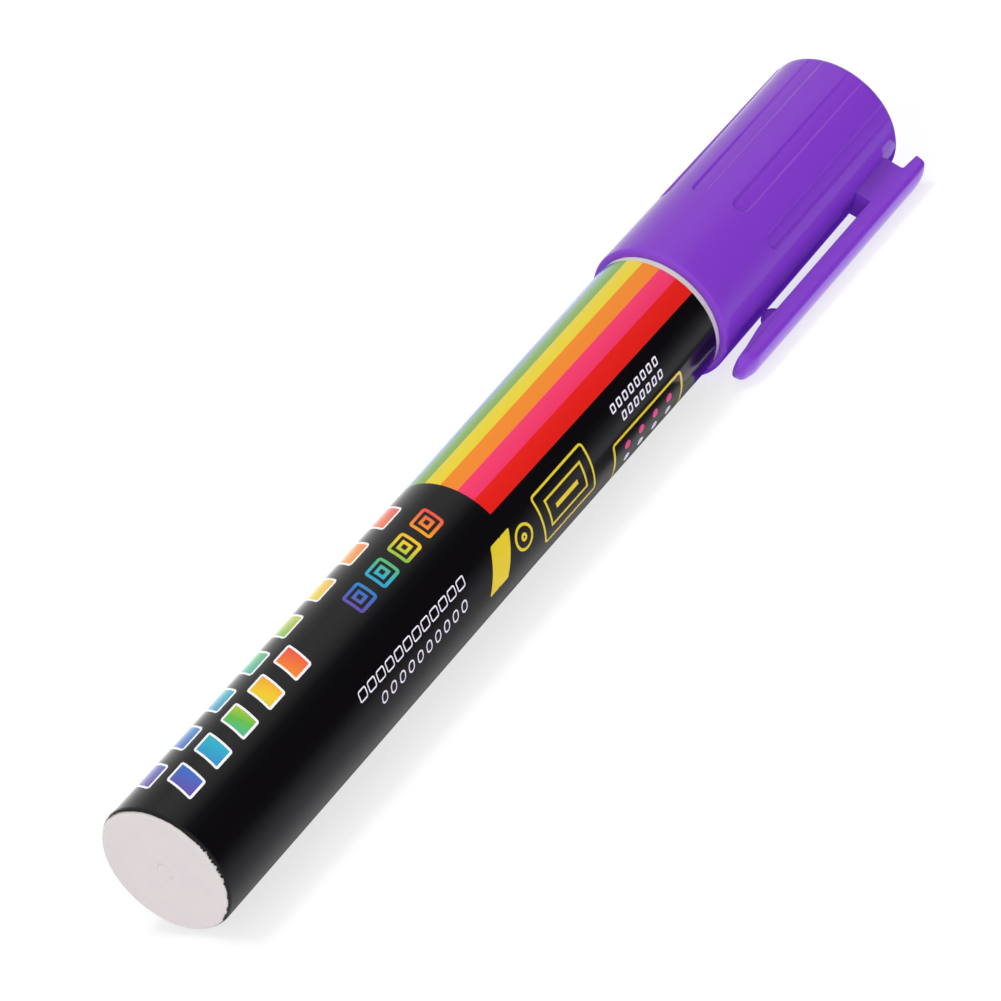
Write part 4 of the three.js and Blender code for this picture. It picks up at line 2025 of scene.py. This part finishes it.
    def crowned(self, piece: bpy.types.Object) -> None:
        """Raise the middle of the blade's outer face.

        Args:
            piece: The clip.
        """
        bench = self.bench
        half = self.width / 2 * MM
        mesh = bench.edit(piece)
        for vert in mesh.verts:
            side = (vert.co.y - bench.line.side) / half
            height = (vert.co.z - bench.line.height) / MM
            share = hold((height - self.outer + self.crown_depth) / self.crown_depth)
            vert.co.z += self.crown * MM * (1 - side * side) * share
        bmesh.update_edit_mesh(piece.data)

    def pad(self) -> bpy.types.Object:
        """Turn the domed pad that rests near the cap, from a disc drawn down ring by ring.

        Returns:
            The pad, under the blade while the clip stands straight up.
        """
        bench = self.bench
        bench.clear()
        last = self.root_inner + self.pad_sunk
        bpy.ops.mesh.primitive_circle_add(
            vertices=self.pad_sides,
            radius=self.pad_radius * MM,
            location=bench.line.at(self.pad_station, last),
        )
        piece = bench.name("clip_pad")
        bench.edit(piece)
        bpy.ops.mesh.select_all(action="SELECT")
        middle = bench.line.at(self.pad_station, self.root_inner)
        height = self.root_inner - self.pad_top
        for ring in range(self.pad_rings + 1):
            lean = math.pi / 2 * ring / self.pad_rings
            level = self.root_inner - height * math.sin(lean)
            bpy.ops.mesh.extrude_region_move(
                TRANSFORM_OT_translate={"value": (0, 0, (level - last) * MM)}
            )
            last = level
            flare = self.pad_flare * max(0.0, 1 - ring / 2) ** 2
            wide = max(self.pad_radius * math.cos(lean), self.pad_tip) + flare
            for vert in bmesh.from_edit_mesh(piece.data).verts:
                if vert.select:
                    away = vert.co - middle
                    down = Vector((0, 0, away.z))
                    away.z = 0.0
                    vert.co = middle + away.normalized() * wide * MM + down
        bpy.ops.mesh.merge(type="COLLAPSE")
        # The open ring inside the blade is closed, so that the pad is a solid of its own
        bpy.ops.mesh.select_all(action="DESELECT")
        bpy.ops.mesh.select_non_manifold()
        bpy.ops.mesh.edge_face_add()
        bpy.ops.mesh.select_all(action="SELECT")
        bpy.ops.mesh.normals_make_consistent(inside=False)
        return piece

    def build(self, purple: bpy.types.Material) -> None:
        """Make the clip and turn it to its place.

        Args:
            purple: Its finish.
        """
        bench = self.bench
        piece = self.blank()
        self.rounded_off(piece)
        self.crowned(piece)
        piece = bench.join([piece, self.pad()])
        bench.turn(piece, CLIP_TURN)
        bench.smooth(piece, self.smooth_angle)
        bench.dress(piece, purple, Slot.PURPLE, None, "clip_blade")
        bench.line.at(self.hinge + self.blend_ahead)
        bench.line.at(self.hinge - self.blend_behind)
        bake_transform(piece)


@dataclass(frozen=True)
class ReflectionCard:
    """A glowing card laid on the table, which only the gloss sees: a painted reflection in the
    pen's glossy faces. Stations and sides in mm.
    """

    name: str
    rear: float
    front: float
    near: float
    far: float
    colour: str


@dataclass(frozen=True)
class Studio:
    """A white table under wide soft lamps, seen through a long lens.

    A lamp has a name, a strength, a colour, a spread in degrees and the side that it shines from.
    A sky has a turn round the pen, in degrees from straight up towards -Y, and how bright it is
    there, and its span says how far ahead a mirrored ray has to point for it. A sheet has the grey
    of its paper, and the colour and strength of its glow.
    """

    line: PenLine
    lens: float = 258.94
    sensor: float = 36.0
    clip_range: tuple[float, float] = (0.01, 20.0)
    eye: tuple[float, float, float] = (-0.47373, -0.51005, 0.38166)
    right: tuple[float, float, float] = (0.53315, -0.76075, -0.37018)
    down: tuple[float, float, float] = (-0.60037, -0.03192, -0.79908)
    ahead: tuple[float, float, float] = (0.59607, 0.64828, -0.47375)
    ambient: float = 0.25
    lamps: tuple[tuple[str, float, str, float, tuple[float, float, float]], ...] = (
        ("key", 0.95, "ffffff", 15.0, (0.0, 0.15, 0.99)),
        ("overhead", 0.85, "ffffff", 60.0, (0.0, 0.0, 1.0)),
        ("rear_fill", 1.42, "ffffff", 50.0, (-0.85, -0.30, 0.36)),
        ("low_fill", 0.42, "cf9cff", 50.0, (0.1, -1.0, 0.1)),
        ("table_glow", 1.0, "dcb4ff", 80.0, (0.0, -0.4, -0.92)),
    )
    sky_over_barrel: tuple[tuple[float, float], ...] = (
        (-180, 0.48), (-162, 0.41), (-146, 0.22), (-138, 0.2), (-131, 0.3), (-127, 0.75),
        (-122, 2.4), (-112, 2.75), (-106, 2.6), (-100, 2.1), (-90, 1.58), (-74, 1.04),
        (-58, 0.76), (-42, 0.53), (-26, 0.45), (-10, 0.62), (6, 0.6), (22, 0.42), (38, 0.06),
        (54, 0.01), (92, 0.01), (102, 0.02), (118, 0.2), (134, 0.38), (150, 0.46), (166, 0.52),
        (180, 0.53),
    )
    sky_over_mouth: tuple[tuple[float, float], ...] = (
        (-180, 0.48), (-162, 0.41), (-150, 0.24), (-140, 0.16), (-131, 0.2), (-127, 0.5),
        (-122, 1.0), (-112, 0.92), (-106, 0.8), (-100, 0.84), (-90, 0.92), (-74, 0.78),
        (-58, 0.68), (-42, 0.53), (-26, 0.44), (-10, 0.44), (6, 0.46), (22, 0.32), (38, 0.05),
        (54, 0.01), (94, 0.01), (102, 0.04), (118, 0.22), (134, 0.42), (150, 0.42), (166, 0.45),
        (180, 0.48),
    )
    sky_over_cap: tuple[tuple[float, float], ...] = (
        (-180, 0.42), (-162, 0.4), (-150, 0.2), (-140, 0.16), (-131, 0.3), (-127, 0.7),
        (-122, 1.1), (-112, 1.1), (-106, 0.98), (-100, 0.95), (-90, 0.92), (-74, 0.78),
        (-58, 0.7), (-42, 0.55), (-26, 0.45), (-10, 0.45), (6, 0.44), (22, 0.3), (38, 0.04),
        (54, 0.005), (94, 0.005), (104, 0.06), (118, 0.22), (130, 0.44), (141, 0.46), (145, 0.1),
        (160, 0.03), (172, 0.14), (180, 0.42),
    )
    sky_behind: float = 0.42
    barrel_span: tuple[float, float] = (0.0, 0.4)
    mouth_span: tuple[float, float] = (0.55, 0.608)
    cap_span: tuple[float, float] = (0.62, 0.628)
    cool_past: float = 90.0
    cool: float = 1.05
    sheet_size: float = 6.0
    # To the pen the sheet glows faintly violet, a painted bounce light from below
    sheet_lit: tuple[float, str, float] = (0.7, "e6d2ff", 0.45)
    sheet_seen: tuple[float, str, float] = (0.3, "ffffff", 0.74)
    tooth_scale: float = 700.0
    tooth_depth: float = 0.04
    card_lift: float = 0.05
    # Glowing cards seen only in the gloss, which paint reflections of the table under the pen
    cards: tuple[ReflectionCard, ...] = (
        # Dark violet: paints the shade under the cap as a dark reflection on the cap's underside
        # beside the clip
        ReflectionCard("painted_shade_reflection_under_cap", 97.5, 146.0, -7.1, -1.5, "5a1fae"),
        # Pale: paints a bright reflection along the clip's outer face
        ReflectionCard("painted_highlight_reflection_under_clip", 96.0, 143.0, -12.0, -7.1, "f4ecfa"),
    )

    def camera(self) -> None:
        """Set the camera where the photograph was taken from."""
        made = bpy.data.cameras.new("camera")
        made.lens = self.lens
        made.sensor_width = self.sensor
        made.clip_start, made.clip_end = self.clip_range
        camera = bpy.data.objects.new("camera", made)
        bpy.context.scene.collection.objects.link(camera)
        turned = Matrix((self.right, -Vector(self.down), -Vector(self.ahead))).transposed()
        camera.matrix_world = Matrix.Translation(self.eye) @ turned.to_4x4()
        bpy.context.scene.camera = camera

    def lights(self) -> None:
        """Hang the wide soft lamps. They light, and their shapes aren't seen in the gloss."""
        for name, strength, colour, spread, source in self.lamps:
            made = bpy.data.lights.new(name, "SUN")
            made.energy = strength
            made.color = srgb(colour)[:3]
            made.angle = math.radians(spread)
            lamp = bpy.data.objects.new(name, made)
            bpy.context.scene.collection.objects.link(lamp)
            lamp.rotation_euler = Vector(source).to_track_quat("Z", "Y").to_euler()
            lamp.visible_glossy = False

    def room(self) -> None:
        """Make the room: white to the camera, even on matt faces, banded in what is glossy."""
        world = bpy.data.worlds.new("studio")
        bpy.context.scene.world = world
        world.use_nodes = True
        tree = world.node_tree
        tree.nodes.clear()
        ray = add_node(tree, "ShaderNodeTexCoord").outputs["Generated"]
        parts = add_node(tree, "ShaderNodeSeparateXYZ", {0: ray})
        minus_y = add_node(
            tree, "ShaderNodeMath", {0: parts.outputs[1], 1: -1.0}, operation="MULTIPLY"
        )
        angle = add_node(
            tree,
            "ShaderNodeMath",
            {0: minus_y.outputs[0], 1: parts.outputs[2]},
            operation="ARCTAN2",
        )
        share = add_node(
            tree,
            "ShaderNodeMapRange",
            {0: angle.outputs[0], 1: -math.pi, 2: math.pi, 3: 0.0, 4: 1.0},
        )
        # Behind the camera the room is even: the rear disc and the bridge's rear face mirror it.
        # Ahead it is banded, and its far end, which the mouth and the cap mirror, is dimmer.
        mirrored: Any = grey(self.sky_behind)
        for sky, (near, far) in (
            (self.sky_over_barrel, self.barrel_span),
            (self.sky_over_mouth, self.mouth_span),
            (self.sky_over_cap, self.cap_span),
        ):
            ramp = add_node(tree, "ShaderNodeValToRGB", {0: share.outputs[0]})
            stops = ramp.color_ramp.elements
            for index, (turn, level) in enumerate(sky[:-1]):
                blue = level * self.cool if turn > self.cool_past else level
                stop = stops[0] if index == 0 else stops.new((turn + 180.0) / 360.0)
                stop.color = (level, level, blue, 1.0)
            stops[-1].color = grey(sky[-1][1])
            reached = add_node(
                tree, "ShaderNodeMapRange", {0: parts.outputs[0], 1: near, 2: far, 3: 0.0, 4: 1.0}
            )
            mirrored = add_node(
                tree,
                "ShaderNodeMix",
                {0: reached.outputs[0], 6: mirrored, 7: ramp.outputs[0]},
                data_type="RGBA",
            ).outputs[2]
        kind = add_node(tree, "ShaderNodeLightPath")
        glossy = add_node(
            tree,
            "ShaderNodeMix",
            {
                0: kind.outputs["Is Glossy Ray"],
                6: grey(self.ambient),
                7: mirrored,
            },
            data_type="RGBA",
        )
        seen = add_node(
            tree,
            "ShaderNodeMath",
            {0: kind.outputs["Is Camera Ray"], 1: kind.outputs["Is Transmission Ray"]},
            operation="MAXIMUM",
        )
        colour = add_node(
            tree,
            "ShaderNodeMix",
            {0: seen.outputs[0], 6: glossy.outputs[2], 7: grey(1.0)},
            data_type="RGBA",
        )
        light = add_node(
            tree, "ShaderNodeBackground", {"Color": colour.outputs[2], "Strength": 1.0}
        )
        add_node(tree, "ShaderNodeOutputWorld", {"Surface": light.outputs[0]})

    def table(self) -> None:
        """Lay the table: a wide pale sheet that keeps the pen's soft shadow."""
        bpy.ops.object.select_all(action="DESELECT")
        bpy.ops.mesh.primitive_plane_add(size=self.sheet_size, location=(0, 0, 0))
        table = bpy.context.object
        table.name = "table"
        made, tree = new_material("white_paper")
        place = add_node(tree, "ShaderNodeTexCoord").outputs["Object"]
        tooth = add_node(
            tree,
            "ShaderNodeTexNoise",
            {"Vector": place, "Scale": self.tooth_scale, "Detail": 3.0},
        )
        grain = add_node(
            tree,
            "ShaderNodeBump",
            {"Height": tooth.outputs["Fac"], "Distance": self.tooth_depth * MM},
        )
        # To the camera the sheet is lifted to white, and keeps part of the shadow. To the pen the
        # paper also glows faintly violet: painted bounce light, which fills the shade on the pen's
        # underside.
        looks = []
        for level, colour, strength in (self.sheet_lit, self.sheet_seen):
            paper = add_node(
                tree,
                "ShaderNodeBsdfDiffuse",
                {"Color": grey(level), "Normal": grain.outputs["Normal"]},
            )
            glow = add_node(
                tree, "ShaderNodeEmission", {"Color": srgb(colour), "Strength": strength}
            )
            looks.append(
                add_node(tree, "ShaderNodeAddShader", {0: paper.outputs[0], 1: glow.outputs[0]})
            )
        kind = add_node(tree, "ShaderNodeLightPath")
        share = add_node(
            tree,
            "ShaderNodeMixShader",
            {0: kind.outputs["Is Camera Ray"], 1: looks[0].outputs[0], 2: looks[1].outputs[0]},
        )
        add_node(tree, "ShaderNodeOutputMaterial", {"Surface": share.outputs[0]})
        table.data.materials.append(made)
        # The sheet is lit from below too, so it doesn't stop that lamp
        table.visible_glossy = False
        table.visible_shadow = False

    def lay(self, card: ReflectionCard) -> None:
        """Lay one glowing card on the table, where only the gloss sees it, to paint a reflection.

        Args:
            card: Its place and colour.
        """
        low, high = self.line.at(card.rear), self.line.at(card.front)
        side = self.line.side + (card.near + card.far) / 2 * MM
        bpy.ops.object.select_all(action="DESELECT")
        bpy.ops.mesh.primitive_plane_add(
            size=1.0, location=((low.x + high.x) / 2, side, self.card_lift * MM)
        )
        piece = bpy.context.object
        piece.name = card.name
        piece.scale = (high.x - low.x, (card.far - card.near) * MM, 1.0)
        bpy.ops.object.transform_apply(location=True, rotation=True, scale=True)
        made, tree = new_material(card.name)
        shine = add_node(
            tree, "ShaderNodeEmission", {"Color": srgb(card.colour), "Strength": 1.0}
        )
        add_node(tree, "ShaderNodeOutputMaterial", {"Surface": shine.outputs[0]})
        piece.data.materials.append(made)
        # Only mirrored rays see the card: it is a painted reflection and lights nothing
        piece.visible_camera = False
        piece.visible_diffuse = False
        piece.visible_shadow = False

    def build(self) -> None:
        """Set up the camera, the lamps, the room, the table and the glowing cards that paint
        reflections.
        """
        self.camera()
        self.lights()
        self.room()
        self.table()
        for card in self.cards:
            self.lay(card)
        bpy.context.scene.view_settings.view_transform = "Standard"


@dataclass
class Finishes:
    """The pen's finishes, one for each kind of surface."""

    line: PenLine
    purple: bpy.types.Material = field(init=False)
    white: bpy.types.Material = field(init=False)
    natural: bpy.types.Material = field(init=False)
    film: bpy.types.Material = field(init=False)
    fibre: bpy.types.Material = field(init=False)
    spring: bpy.types.Material = field(init=False)
    ball: bpy.types.Material = field(init=False)

    def __post_init__(self) -> None:
        """Make every finish once."""
        # Polypropylene, moulded in a polished tool: deep glossy violet, with some light in it
        self.purple = MouldedPlastic(
            "moulded_polypropylene_purple", "8540c7", "813ec2", 0.075, glow=0.12
        ).material()
        # Polypropylene with white pigment: even and satin, with faint warm and cool drift
        self.white = MouldedPlastic(
            "moulded_polypropylene_white", "dad5cd", "d5d1cc", 0.42, glow=0.1, mottle=0.8
        ).material()
        # Unpigmented polypropylene: milky and waxy
        self.natural = MouldedPlastic(
            "moulded_polypropylene_natural", "efede8", "e6e4de", 0.38, glow=0.35, glow_reach=1.5
        ).material()
        # Polyester film, printed and shrunk by heat: glossy, with long waves and a soft peel
        self.film = PrintedFilm(self.line).material()
        # Polyester fibre, pressed and ground to a point: matt, with fine threads
        self.fibre = PressedFibre().material()
        # Stainless wire, drawn: bright, with fine scratches
        self.spring = DrawnSteel("drawn_stainless_wire").material()
        # Stainless ball, ground and polished: brighter still
        self.ball = DrawnSteel("ground_stainless_ball", "cdced0", 0.12, 0.4).material()


def main() -> None:
    """Build the pen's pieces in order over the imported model, and set the studio round it."""
    logging.basicConfig(level=logging.INFO, format="%(message)s")
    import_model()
    line = PenLine.of_barrel()
    bench = Bench(line)
    finishes = Finishes(line)
    Barrel(bench).build(finishes.white, finishes.film)
    Nozzle(bench).build(finishes.white)
    Nib(bench).build(finishes.fibre)
    Valve(bench).build(finishes.natural, finishes.spring, finishes.ball)
    Cap(bench).build(finishes.purple, finishes.natural)
    PocketClip(bench).build(finishes.purple)
    Studio(line).build()


if __name__ == "__main__":
    main()
